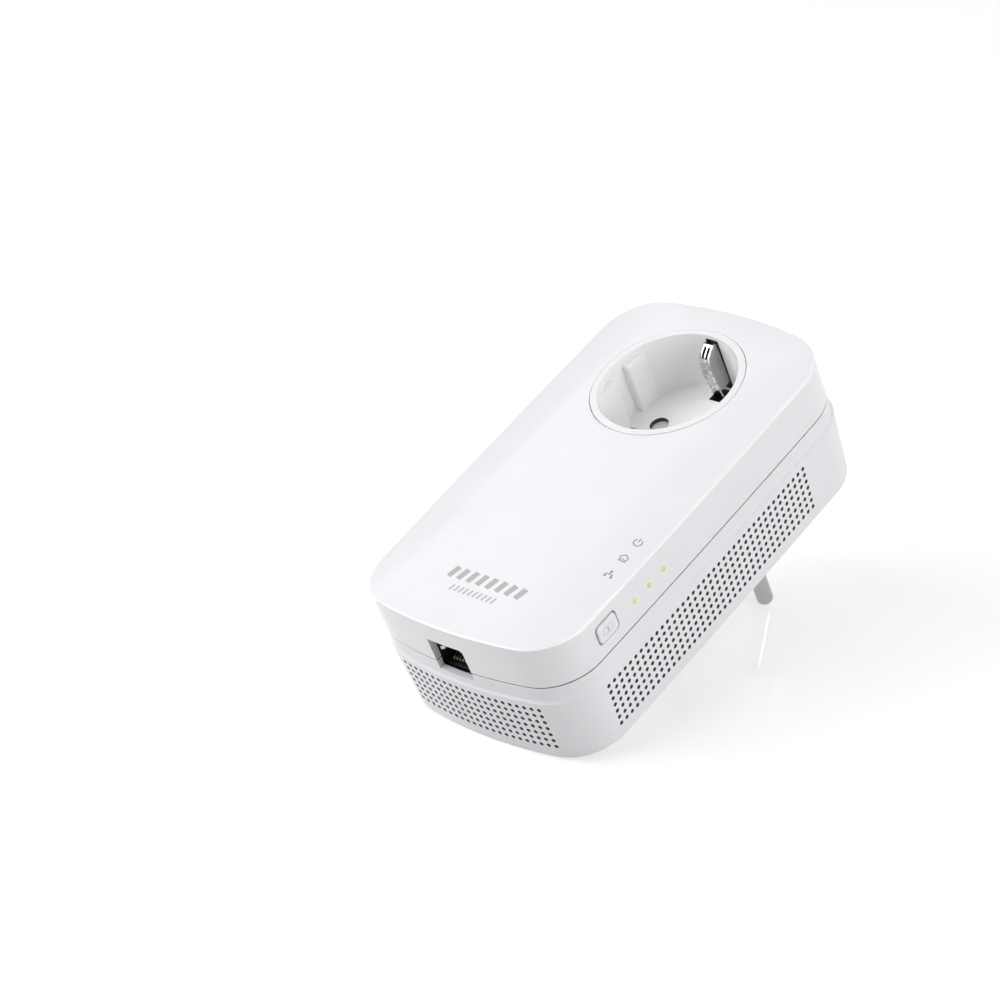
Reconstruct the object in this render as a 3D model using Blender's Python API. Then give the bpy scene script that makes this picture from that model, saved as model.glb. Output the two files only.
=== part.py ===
"""Pass-through powerline adapter, built as separate solids.

Frame: the origin is the centre of the flat end face of the plug body, the face the two pins
stand out of. +Y points into the wall outlet, +Z up towards the socket end, +X right for someone
facing the front. Lengths below are in millimetres and become metres in solid().
DEPTH values are measured towards the wall from the level where the front face would be flat:
the face domes forward of that level in its middle and falls behind it along the long sides.
"""

import math

import bmesh
import bpy
from mathutils import Matrix, Vector

GAP = 0.3
WALL = 2.0
BOSS_LENGTH = 17.0
BODY_DEPTH = 40.4
FRONT_Y = -(BOSS_LENGTH + BODY_DEPTH)
BACK_Y = -BOSS_LENGTH

SIDE_BOW = 0.5
MIDDLE_Z = -32.0
BOW_REACH = 60.0
TOP_ARC = 170.0
BOTTOM_ARC = 135.0
CORNER_STEPS = 7
ARC_STEPS = 5
SIDE_STEPS = 6

CROWN_DROP = 1.6
CROWN_HALF_WIDTH = 36.0
DOME_RISE = 1.5
DOME_HALF_WIDTH = 35.3
DOME_HALF_HEIGHT = 64.2

SEAM_DEPTH = 14.7
BAND_DEPTH = 19.0
SHOULDER_DEPTH = 20.0
WALL_END_DEPTH = 39.6

SOCKET_Z = 2.0
RING_PROUD = 0.1
RING_EDGE = 0.3
RING_RADIUS = 21.5
WELL_RADIUS = 19.5
WELL_FLOOR = 17.3
FLOOR_BASE = 18.3
RIB_TOP = 1.5
RIB_FACE_X = 16.9
RIB_SLOT = 2.7
PIN_X = 9.5
PIN_RADIUS = 2.4
PIN_LENGTH = 19.0
PIN_HOLE = 2.7
CLIP_HALF_WIDTH = 1.75
CLIP_CHANNEL = 2.1

BOSS_RADIUS = 18.25
BOSS_FLAT_X = 16.3
BOSS_KEY = 2.3
BOSS_ROOT_RADIUS = 18.6
BOSS_FLANGE_RADIUS = 21.0
EARTH_SEAT_Z = 14.9
EARTH_SEAT_X = 3.6

BUTTON_Z = -73.9
BUTTON_DEPTH = 7.75
BUTTON_FACE_X = 36.05
BUTTON_SIZE = (7.5, 5.5)
LED_Z = (-50.5, -56.65, -62.8)
LED_DEPTH = 8.45
LENS_END_X = 35.95
LENS_RADIUS = 0.65

JACK_X = -1.45
JACK_FRONT_Z = -93.6
JACK_RECESS = (12.4, 6.4, 17.2)
CONTACT_PITCH = 1.016

CLIP_PATH = (
    (18.1, 0.9),
    (17.7, 1.3),
    (15.4, 3.2),
    (14.4, 5.0),
    (14.1, 6.6),
    (14.3, 8.2),
    (15.7, 16.0),
    (15.9, 17.5),
    (15.9, 26.0),
)
CLIP_FLANGE = (
    (17.9, 0.9),
    (19.0, 0.9),
    (19.0, 13.8),
    (18.2, 14.8),
    (15.6, 14.8),
    (14.4, 8.2),
    (14.3, 6.6),
    (14.6, 5.0),
    (15.5, 3.3),
)

SCREWS = ((27.0, 16.0), (-27.0, 16.0), (27.0, -86.0), (-27.0, -86.0))
POST_RADIUS = 4.0
BOARD_DEPTH = 18.7
BOARD_THICKNESS = 1.6
FACE_SHARES = (0.92, 0.82, 0.7, 0.57, 0.43, 0.28, 0.12)


def clear_scene():
    for thing in list(bpy.data.objects):
        bpy.data.objects.remove(thing, do_unlink=True)


def at(depth):
    """Y of a point at this depth."""
    return FRONT_Y + depth


def plastic(name, colour, roughness=0.35, metallic=0.0):
    material = bpy.data.materials.new(name)
    material.use_nodes = True
    shader = material.node_tree.nodes["Principled BSDF"]
    shader.inputs["Base Color"].default_value = (*colour, 1.0)
    shader.inputs["Roughness"].default_value = roughness
    shader.inputs["Metallic"].default_value = metallic
    return material


def new_mesh(points, faces):
    """Closed mesh from points in millimetres, with its faces turned outwards."""
    mesh = bmesh.new()
    corners = [mesh.verts.new(point) for point in points]
    for face in faces:
        mesh.faces.new([corners[index] for index in face])
    bmesh.ops.recalc_face_normals(mesh, faces=mesh.faces)
    return mesh


def loft(rings):
    """Closed body through rings of equal length, with a flat cap on both ends."""
    count = len(rings[0])
    points = [point for ring in rings for point in ring]
    faces = []
    for level in range(len(rings) - 1):
        base = level * count
        for index in range(count):
            after = (index + 1) % count
            faces.append((base + index, base + after, base + count + after, base + count + index))
    faces.append(tuple(range(count)))
    faces.append(tuple(range(len(points) - count, len(points))))
    return new_mesh(points, faces)


def place(first, second, along, axis):
    if axis == "X":
        return (along, first, second)
    if axis == "Y":
        return (first, along, second)
    return (first, second, along)


def prism(outline, axis, low, high):
    """Outline in the plane across the axis, pushed from low to high along it."""
    rings = []
    for along in (low, high):
        rings.append([place(first, second, along, axis) for first, second in outline])
    return loft(rings)


def box(low, high):
    outline = ((low[0], low[1]), (high[0], low[1]), (high[0], high[1]), (low[0], high[1]))
    return prism(outline, "Z", low[2], high[2])


def circle(radius, steps, centre=(0.0, 0.0), start=0.0):
    points = []
    for index in range(steps):
        angle = start + 2.0 * math.pi * index / steps
        points.append((centre[0] + radius * math.cos(angle), centre[1] + radius * math.sin(angle)))
    return points


def rounded(half_first, half_second, radius, centre, steps=4):
    """Rectangle with round corners."""
    points = []
    for quarter in range(4):
        sign_first = (1, -1, -1, 1)[quarter]
        sign_second = (1, 1, -1, -1)[quarter]
        for index in range(steps + 1):
            angle = math.radians(90.0 * (quarter + index / steps))
            first = centre[0] + sign_first * (half_first - radius) + radius * math.cos(angle)
            second = centre[1] + sign_second * (half_second - radius) + radius * math.sin(angle)
            points.append((first, second))
    return points


def rod(profile, axis, centre, steps=24):
    """Body of revolution: profile of (radius, along) pairs, capped on both ends."""
    rings = []
    for radius, along in profile:
        rings.append([place(first, second, along, axis) for first, second in circle(radius, steps, centre)])
    return loft(rings)


def ribbon(path, thickness, axis, low, high):
    """Bent strip: a centre line in the plane across the axis, given thickness and width."""
    left = []
    right = []
    for index, point in enumerate(path):
        here = Vector(point)
        before = Vector(path[max(index - 1, 0)])
        after = Vector(path[min(index + 1, len(path) - 1)])
        into = (here - before).normalized() if index > 0 else (after - here).normalized()
        out = (after - here).normalized() if index < len(path) - 1 else into
        normal = (Vector((-into.y, into.x)) + Vector((-out.y, out.x))).normalized()
        reach = thickness / 2.0 / max(normal.dot(Vector((-into.y, into.x))), 0.5)
        left.append(here + normal * reach)
        right.append(here - normal * reach)
    outline = [tuple(point) for point in left + right[::-1]]
    return prism(outline, axis, low, high)


def solid(name, mesh, material, pivot=(0.0, 0.0, 0.0), smooth=30.0):
    """Object whose origin is the pivot. The mesh arrives in millimetres in the shared frame."""
    bmesh.ops.translate(mesh, verts=mesh.verts, vec=-Vector(pivot))
    bmesh.ops.scale(mesh, verts=mesh.verts, vec=(0.001, 0.001, 0.001))
    data = bpy.data.meshes.new(name)
    mesh.to_mesh(data)
    mesh.free()
    thing = bpy.data.objects.new(name, data)
    thing.location = Vector(pivot) * 0.001
    bpy.context.scene.collection.objects.link(thing)
    data.materials.append(material)
    if smooth:
        data.shade_smooth()
        data.set_sharp_from_angle(angle=math.radians(smooth))
    return thing


def combine(thing, meshes, operation, smooth=30.0):
    """Cuts each mesh from the object, or joins it on, and keeps the result as plain faces."""
    for mesh in meshes:
        tool = solid("tool", mesh, thing.data.materials[0], smooth=0.0)
        change = thing.modifiers.new("change", "BOOLEAN")
        change.operation = operation
        change.solver = "EXACT"
        change.object = tool
        bpy.context.view_layer.update()
        graph = bpy.context.evaluated_depsgraph_get()
        result = bpy.data.meshes.new_from_object(thing.evaluated_get(graph))
        thing.modifiers.remove(change)
        thing.data = result
        bpy.data.objects.remove(tool, do_unlink=True)
    thing.data.name = thing.name
    thing.data.shade_smooth()
    thing.data.set_sharp_from_angle(angle=math.radians(smooth))
    return thing


def cut(thing, *meshes):
    return combine(thing, meshes, "DIFFERENCE")


def join(thing, *meshes):
    return combine(thing, meshes, "UNION")


def bowed(x, z):
    """The long sides bulge a little half way along."""
    reach = max(0.0, 1.0 - ((z - MIDDLE_Z) / BOW_REACH) ** 2)
    return x + math.copysign(SIDE_BOW * reach * (abs(x) / CROWN_HALF_WIDTH) ** 4, x)


def body_outline(half_width, top, bottom, corner):
    """Outline in X and Z: straight sides, four round corners and two gently arched ends."""
    right = []
    for end, sign, arc in ((bottom, -1.0, BOTTOM_ARC), (top, 1.0, TOP_ARC)):
        centre_z = end - sign * arc
        offset = math.sqrt((arc - corner) ** 2 - (half_width - corner) ** 2)
        tangent = math.atan2(offset, half_width - corner)
        corner_z = centre_z + sign * offset
        part = []
        for index in range(CORNER_STEPS + 1):
            angle = tangent * index / CORNER_STEPS
            x = half_width - corner + corner * math.cos(angle)
            part.append((x, corner_z + sign * corner * math.sin(angle)))
        for index in range(1, ARC_STEPS + 1):
            angle = tangent + (math.pi / 2.0 - tangent) * index / ARC_STEPS
            part.append((arc * math.cos(angle), centre_z + sign * arc * math.sin(angle)))
        right.append(part)
    low, high = right
    side = []
    for index in range(1, SIDE_STEPS):
        share = index / SIDE_STEPS
        side.append((half_width, low[0][1] * (1.0 - share) + high[0][1] * share))
    half = low[::-1] + side + high
    full = half + [(-x, z) for x, z in half[-2:0:-1]]
    return [(bowed(x, z), z) for x, z in full]


def face_depth(x, z):
    """Depth of the front face: a crown across its width, less a dome that fades out at its edges."""
    across = max(0.0, 1.0 - (x / DOME_HALF_WIDTH) ** 4)
    along = max(0.0, 1.0 - ((z - MIDDLE_Z) / DOME_HALF_HEIGHT) ** 4)
    return CROWN_DROP * (x / CROWN_HALF_WIDTH) ** 2 - DOME_RISE * across * along


def body_ring(depth, half_width, top, bottom, corner, crowned=False):
    ring = []
    for x, z in body_outline(half_width, top, bottom, corner):
        ring.append((x, at(depth + (face_depth(x, z) if crowned else 0.0)), z))
    return ring


def face_rings(ring, shares, depth):
    """Rings drawn inwards over the domed face from its edge."""
    rings = []
    for share in shares:
        drawn = []
        for x, _, z in ring:
            inner_x = x * share
            inner_z = MIDDLE_Z + (z - MIDDLE_Z) * share
            drawn.append((inner_x, at(depth + face_depth(inner_x, inner_z)), inner_z))
        rings.append(drawn)
    return rings


def screw_posts(radius, low, high):
    return [rod(((radius, low), (radius, high)), "Y", spot, 16) for spot in SCREWS]


def jack_window(low, high):
    """Cutter for the opening in the bottom end in front of the network jack."""
    width, near, far = JACK_RECESS
    half = width / 2.0
    outline = (
        (JACK_X - half, at(near)),
        (JACK_X + half - 0.8, at(near)),
        (JACK_X + half, at(near + 0.8)),
        (JACK_X + half, at(far)),
        (JACK_X - half, at(far)),
    )
    return prism(outline, "Z", low, high)


def make_front_cover(material):
    outer = [
        body_ring(SEAM_DEPTH, 35.65, 31.9, -96.3, 14.9),
        body_ring(0.6, 35.65, 32.1, -96.5, 15.0, True),
        body_ring(0.2, 35.5, 31.95, -96.35, 14.85, True),
        body_ring(0.0, 35.05, 31.5, -95.9, 14.4, True),
    ]
    outer += face_rings(outer[-1], FACE_SHARES, 0.0)
    inner_edge = body_ring(WALL, 33.3, 30.0, -94.2, 13.0, True)
    inner = [body_ring(SEAM_DEPTH, 33.5, 30.0, -94.3, 13.0), inner_edge]
    inner += face_rings(inner_edge, FACE_SHARES, WALL)
    cover = solid("front_cover", loft(outer[::-1] + inner), material)
    posts = screw_posts(3.4, at(WALL - 0.2), at(14.9))
    join(cover, *posts)
    half_first, half_second = BUTTON_SIZE[0] / 2.0 + GAP, BUTTON_SIZE[1] / 2.0 + GAP
    window = rounded(half_second, half_first, 1.5, (at(BUTTON_DEPTH), BUTTON_Z))
    cut(cover, prism(window, "X", 30.0, 40.0))
    lens_hole = LENS_RADIUS + GAP
    for lens_z in LED_Z:
        cut(cover, rod(((lens_hole, 30.0), (lens_hole, 40.0)), "X", (at(LED_DEPTH), lens_z), 12))
    ring_hole = RING_RADIUS + GAP
    cut(cover, rod(((ring_hole, at(-4.0)), (ring_hole, at(6.0))), "Y", (0.0, SOCKET_Z), 64))
    cut(cover, *screw_posts(1.7, at(4.5), at(16.0)))
    cut(cover, jack_window(-99.0, -93.0))
    return cover


def make_rear_housing(material):
    outer = [
        body_ring(SEAM_DEPTH + GAP, 35.35, 31.6, -96.0, 14.6),
        body_ring(SEAM_DEPTH + GAP + 0.15, 35.65, 31.9, -96.3, 14.9),
        body_ring(BAND_DEPTH, 35.7, 31.95, -96.4, 14.9),
        body_ring(SHOULDER_DEPTH, 36.05, 32.35, -96.95, 15.1),
        body_ring(WALL_END_DEPTH, 34.65, 31.2, -96.1, 14.4),
        body_ring(BODY_DEPTH - 0.25, 34.4, 30.95, -95.85, 14.1),
        body_ring(BODY_DEPTH, 33.85, 30.4, -95.3, 13.6),
    ]
    inner = [
        body_ring(SEAM_DEPTH + GAP, 33.5, 30.0, -94.3, 13.0),
        body_ring(SHOULDER_DEPTH, 33.9, 30.3, -94.8, 13.2),
        body_ring(BODY_DEPTH - 2.2, 32.6, 29.2, -94.0, 12.2),
    ]
    housing = solid("rear_housing", loft(outer[::-1] + inner), material)
    join(housing, *screw_posts(POST_RADIUS, at(15.2), BACK_Y - 1.0))
    cut(housing, *screw_posts(3.0, at(33.0), BACK_Y + 1.0))
    cut(housing, *screw_posts(1.7, at(14.0), at(34.0)))
    boss_hole = BOSS_ROOT_RADIUS + GAP
    cut(housing, rod(((boss_hole, at(30.0)), (boss_hole, BACK_Y + 1.0)), "Y", (0.0, 0.0), 64))
    cut(housing, jack_window(-99.0, -93.0))
    cut(housing, box((-20.3, BACK_Y - 0.6, -76.3), (20.3, BACK_Y + 1.0, -33.7)))
    return housing


def well_outline(steps=48):
    """Plan of the socket well: a circle with a flat rib on both sides, each split by a slot."""
    points = []
    limit = math.acos(RIB_FACE_X / WELL_RADIUS)
    slot = math.asin(RIB_SLOT / WELL_RADIUS)
    for side in (0.0, math.pi):
        turn = 1.0 if side == 0.0 else -1.0
        points.append((turn * RIB_FACE_X, SOCKET_Z - turn * RIB_SLOT))
        for index in range(3):
            angle = side - slot + slot * index
            points.append((WELL_RADIUS * math.cos(angle), SOCKET_Z + WELL_RADIUS * math.sin(angle)))
        points.append((turn * RIB_FACE_X, SOCKET_Z + turn * RIB_SLOT))
        arc = steps // 2 - 8
        for index in range(arc + 1):
            angle = side + limit + (math.pi - 2.0 * limit) * index / arc
            points.append((WELL_RADIUS * math.cos(angle), SOCKET_Z + WELL_RADIUS * math.sin(angle)))
    return points


def make_socket_insert(material):
    profile = (
        (RING_RADIUS - RING_EDGE, at(-RING_PROUD)),
        (RING_RADIUS, at(-RING_PROUD + RING_EDGE)),
        (RING_RADIUS, at(3.3)),
        (23.5, at(3.3)),
        (23.5, at(4.8)),
        (RING_RADIUS, at(4.8)),
        (RING_RADIUS, at(FLOOR_BASE)),
    )
    insert = solid("socket_insert", rod(profile, "Y", (0.0, SOCKET_Z), 64), material)
    mouth = (
        (WELL_RADIUS + RING_EDGE, at(-3.0)),
        (WELL_RADIUS + RING_EDGE, at(-RING_PROUD)),
        (WELL_RADIUS, at(-RING_PROUD + RING_EDGE)),
        (WELL_RADIUS, at(RIB_TOP)),
    )
    cut(insert, rod(mouth, "Y", (0.0, SOCKET_Z), 64))
    cut(insert, prism(well_outline(), "Y", at(RIB_TOP - 0.5), at(WELL_FLOOR)))
    for side in (-1.0, 1.0):
        cut(insert, rod(((PIN_HOLE, at(16.0)), (PIN_HOLE, at(21.0))), "Y", (side * PIN_X, SOCKET_Z), 20))
        low, high = sorted((SOCKET_Z + side * 14.4, SOCKET_Z + side * 20.6))
        cut(insert, box((-CLIP_CHANNEL, at(0.6), low), (CLIP_CHANNEL, at(WELL_FLOOR), high)))
        low, high = sorted((SOCKET_Z + side * 13.2, SOCKET_Z + side * 18.2))
        cut(insert, box((-CLIP_CHANNEL, at(16.0), low), (CLIP_CHANNEL, at(21.0), high)))
    for vertex in insert.data.vertices:
        x, y, z = vertex.co * 1000.0
        if y < at(RING_EDGE):
            vertex.co.y += face_depth(x, z) * 0.001
    return insert


def boss_outline(scale=1.0):
    """Plan of the plug body: a circle with keyed flats at the sides and seats for the earth strips."""
    flat_z = math.sqrt(BOSS_RADIUS ** 2 - BOSS_FLAT_X ** 2)
    flat_angle = math.atan2(flat_z, BOSS_FLAT_X)
    key_x = math.sqrt(BOSS_RADIUS ** 2 - BOSS_KEY ** 2)
    seat_angle = math.acos(EARTH_SEAT_X / BOSS_RADIUS)
    quarter = [(BOSS_RADIUS, 0.0), (key_x, BOSS_KEY), (BOSS_FLAT_X, BOSS_KEY)]
    for index in range(9):
        angle = flat_angle + (seat_angle - flat_angle) * index / 8
        quarter.append((BOSS_RADIUS * math.cos(angle), BOSS_RADIUS * math.sin(angle)))
    quarter.append((EARTH_SEAT_X, EARTH_SEAT_Z))
    upper = quarter + [(-x, z) for x, z in quarter[::-1]]
    full = upper + [(x, -z) for x, z in upper[-2:0:-1]]
    return [(x * scale, z * scale) for x, z in full]


def make_plug_body(material):
    root = (
        (BOSS_FLANGE_RADIUS, at(36.6)),
        (BOSS_FLANGE_RADIUS, at(37.9)),
        (BOSS_ROOT_RADIUS, at(37.9)),
        (BOSS_ROOT_RADIUS, BACK_Y + 1.0),
    )
    body = solid("plug_body", rod(root, "Y", (0.0, 0.0), 48), material)
    rings = []
    for along, scale in ((BACK_Y + 0.5, 1.0), (-0.8, 1.0), (-0.25, 0.985), (0.0, 0.955)):
        rings.append([(x, along, z) for x, z in boss_outline(scale)])
    join(body, loft(rings))
    for side in (-1.0, 1.0):
        cut(body, rod(((PIN_RADIUS + GAP, -24.0), (PIN_RADIUS + GAP, 2.0)), "Y", (side * PIN_X, 0.0), 20))
        low, high = sorted((side * EARTH_SEAT_Z, side * 17.2))
        cut(body, box((-3.2, -24.0, low), (3.2, BACK_Y + 2.0, high)))
    return body


def make_socket_parts(white, grey, brass, steel):
    centre = (0.0, SOCKET_Z)
    block = box((-15.0, at(21.6), SOCKET_Z - 12.5), (15.0, at(34.5), SOCKET_Z + 12.5))
    carrier = solid("contact_carrier", block, grey)
    cut(carrier, rod(((5.6, at(20.0)), (5.6, at(24.4))), "Y", centre, 24))
    join(carrier, rod(((2.0, at(18.8)), (2.0, at(26.0))), "Y", centre, 16))
    for side, name in ((1.0, "line"), (-1.0, "neutral")):
        spot = (side * PIN_X, SOCKET_Z)
        cut(carrier, rod(((3.75, at(20.0)), (3.75, at(36.0))), "Y", spot, 24))
        outline = []
        for radius, order in ((3.4, 1), (2.75, -1)):
            for index in range(13)[::order]:
                angle = math.radians(-150.0 + 300.0 * index / 12.0)
                outline.append((spot[0] + side * radius * math.cos(angle), spot[1] + radius * math.sin(angle)))
        solid("socket_contact_" + name, prism(outline, "Y", at(22.4), at(34.2)), brass)
        low, high = sorted((side * 15.4, side * 16.2))
        path = ((at(30.0), SOCKET_Z + 3.0), (at(30.0), SOCKET_Z - 17.0), (at(26.0), SOCKET_Z - 22.0),
                (at(26.0), SOCKET_Z - 24.8), (at(21.0), SOCKET_Z - 27.5))
        solid("busbar_" + name, ribbon(path, 3.0, "X", low, high), brass)

    reach = 12.9
    lobe = math.radians(19.5)
    plate = []
    for side in (0.0, math.pi):
        for index in range(5):
            angle = side - lobe + lobe * index / 2.0
            plate.append((reach * math.cos(angle), SOCKET_Z + reach * math.sin(angle)))
        for index in range(5):
            angle = side + math.radians(40.0 + 25.0 * index)
            plate.append((4.6 * math.cos(angle), SOCKET_Z + 4.6 * math.sin(angle)))
    shutter = solid("socket_shutter", prism(plate, "Y", at(18.6), at(20.2)), white, (0.0, at(19.4), SOCKET_Z))
    hub = circle(2.3, 16, centre)
    cut(shutter, prism(hub, "Y", at(18.0), at(21.0)))

    turns = 3.0
    steps = 36
    rings = []
    for index in range(steps + 1):
        angle = 2.0 * math.pi * turns * index / steps
        outward = Vector((math.cos(angle), 0.0, math.sin(angle)))
        middle = outward * 3.6 + Vector((0.0, at(20.9) + 3.0 * index / steps, SOCKET_Z))
        ring = []
        for corner in range(6):
            around = 2.0 * math.pi * corner / 6.0
            along = Vector((0.0, 0.22 * math.sin(around), 0.0))
            ring.append(tuple(middle + outward * 0.22 * math.cos(around) + along))
        rings.append(ring)
    solid("shutter_spring", loft(rings), steel, (0.0, at(22.4), SOCKET_Z))

    for side, name in ((1.0, "upper"), (-1.0, "lower")):
        path = [(at(depth), SOCKET_Z + side * across) for across, depth in CLIP_PATH]
        root = (0.0, at(19.0), SOCKET_Z + side * 15.9)
        web = ribbon(path, 0.6, "X", -CLIP_HALF_WIDTH, CLIP_HALF_WIDTH)
        clip = solid("earth_clip_" + name, web, steel, root)
        flange = [(at(depth), SOCKET_Z + side * across) for across, depth in CLIP_FLANGE]
        for low, high in ((-CLIP_HALF_WIDTH, -CLIP_HALF_WIDTH + 0.4), (CLIP_HALF_WIDTH - 0.4, CLIP_HALF_WIDTH)):
            join(clip, prism(flange, "X", low, high))
        low, high = sorted((SOCKET_Z + side * 15.0, SOCKET_Z + side * 20.0))
        for middle in (-0.6, 0.6):
            cut(clip, box((middle - 0.28, at(1.6), low), (middle + 0.28, at(3.4), high)))
    path = []
    for across, depth in ((17.2, 21.0), (17.2, 35.3), (-17.2, 35.3), (-17.2, 21.0)):
        path.append((at(depth), SOCKET_Z + across))
    solid("earth_bridge", ribbon(path, 0.8, "X", -2.6, 2.6), brass)


def make_plug_parts(steel):
    for side, name in ((1.0, "line"), (-1.0, "neutral")):
        profile = [(PIN_RADIUS, at(36.9))]
        for index in range(6):
            angle = math.radians(90.0 * index / 6.0)
            along = PIN_LENGTH - PIN_RADIUS + PIN_RADIUS * math.sin(angle)
            profile.append((PIN_RADIUS * math.cos(angle), along))
        profile.append((0.25, PIN_LENGTH))
        solid("plug_pin_" + name, rod(profile, "Y", (side * PIN_X, 0.0), 24), steel)
    for side, name in ((1.0, "upper"), (-1.0, "lower")):
        path = []
        for along, across in ((-20.9, 15.9), (-15.0, 15.9), (-10.0, 16.5), (-4.0, 16.5),
                              (-1.6, 15.9), (-1.0, 15.5)):
            path.append((along, side * across))
        solid("plug_earth_strip_" + name, ribbon(path, 0.8, "X", -2.8, 2.8), steel)


def make_screws(steel):
    for index, spot in enumerate(SCREWS):
        profile = (
            (1.4, at(7.0)),
            (1.4, at(33.3)),
            (2.6, at(33.3)),
            (2.6, at(34.6)),
            (2.2, at(35.3)),
        )
        screw = solid("housing_screw_%d" % (index + 1), rod(profile, "Y", spot, 16), steel)
        for long_first in (True, False):
            half_first, half_second = (1.3, 0.28) if long_first else (0.28, 1.3)
            cut(screw, box((spot[0] - half_first, at(34.5), spot[1] - half_second),
                           (spot[0] + half_first, at(36.0), spot[1] + half_second)))


def make_jack(grey, steel, gold):
    half = 7.9
    back_z = JACK_FRONT_Z + 14.5
    near, far = 4.6, 18.2
    block = box((JACK_X - half, at(near), JACK_FRONT_Z), (JACK_X + half, at(far), back_z))
    housing = solid("jack_housing", block, grey)
    cavity = ((-5.9, 16.8), (5.9, 16.8), (5.9, 9.3), (3.1, 9.3),
              (3.1, 7.2), (-3.1, 7.2), (-3.1, 9.3), (-5.9, 9.3))
    outline = [(JACK_X + across, at(depth)) for across, depth in cavity]
    cut(housing, prism(outline, "Z", JACK_FRONT_Z - 1.0, JACK_FRONT_Z + 12.5))
    outer = box((JACK_X - half - 0.8, at(near - 0.8), JACK_FRONT_Z + 0.5),
                (JACK_X + half + 0.8, at(far - 0.4), back_z + 0.8))
    shield = solid("jack_shield", outer, steel)
    inner = box((JACK_X - half - GAP, at(near - GAP), JACK_FRONT_Z - 1.0),
                (JACK_X + half + GAP, at(far + 2.0), back_z + GAP))
    cut(shield, inner)
    for index in range(8):
        x = JACK_X + CONTACT_PITCH * (index - 3.5)
        path = (
            (at(16.3), JACK_FRONT_Z + 2.2),
            (at(16.1), JACK_FRONT_Z + 1.2),
            (at(15.5), JACK_FRONT_Z + 0.9),
            (at(15.0), JACK_FRONT_Z + 1.4),
            (at(10.8), JACK_FRONT_Z + 9.5),
            (at(10.6), JACK_FRONT_Z + 10.8),
        )
        root = (x, at(15.6), JACK_FRONT_Z + 1.0)
        solid("jack_contact_%d" % (index + 1), ribbon(path, 0.3, "X", x - 0.23, x + 0.23), gold, root)


def make_controls(white, clear, black, steel, green, glow):
    centre = (at(BUTTON_DEPTH), BUTTON_Z)
    half_first, half_second = BUTTON_SIZE[0] / 2.0, BUTTON_SIZE[1] / 2.0
    rings = []
    for x, trim in ((33.0, 0.0), (BUTTON_FACE_X - 0.35, 0.0), (BUTTON_FACE_X - 0.1, 0.12),
                    (BUTTON_FACE_X, 0.4)):
        outline = rounded(half_second - trim, half_first - trim, 1.2 - trim * 0.5, centre)
        rings.append([(x, first, second) for first, second in outline])
    pivot = (BUTTON_FACE_X, at(BUTTON_DEPTH), BUTTON_Z)
    button = solid("pair_button", loft(rings), white, pivot)
    flange = rounded(half_second + 1.1, half_first + 1.1, 1.6, centre)
    join(button, prism(flange, "X", 32.4, 33.1))

    solid("side_board", box((26.6, at(3.6), -80.5), (28.0, at(18.4), -45.0)), green)
    switch = solid("tact_switch", box((28.3, at(BUTTON_DEPTH - 3.0), BUTTON_Z - 3.0),
                                      (31.3, at(BUTTON_DEPTH + 3.0), BUTTON_Z + 3.0)), black)
    cut(switch, rod(((1.7, 29.3), (1.7, 32.0)), "X", centre, 16))
    solid("switch_plunger", rod(((1.4, 30.0), (1.4, 31.9), (1.2, 32.1)), "X", centre, 16), steel,
          (32.1, at(BUTTON_DEPTH), BUTTON_Z))

    bar = box((30.2, at(LED_DEPTH - 2.0), LED_Z[2] - 2.2), (31.4, at(LED_DEPTH + 2.0), LED_Z[0] + 2.2))
    pipe = solid("light_pipe", bar, clear)
    for index, lens_z in enumerate(LED_Z):
        spot = (at(LED_DEPTH), lens_z)
        profile = ((LENS_RADIUS, 31.0), (LENS_RADIUS, LENS_END_X - 0.1), (LENS_RADIUS - 0.15, LENS_END_X))
        join(pipe, rod(profile, "X", spot, 12))
        solid("status_led_%d" % (index + 1), box((28.3, at(LED_DEPTH - 0.8), lens_z - 1.0),
                                                 (29.8, at(LED_DEPTH + 0.8), lens_z + 1.0)), glow)


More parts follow.
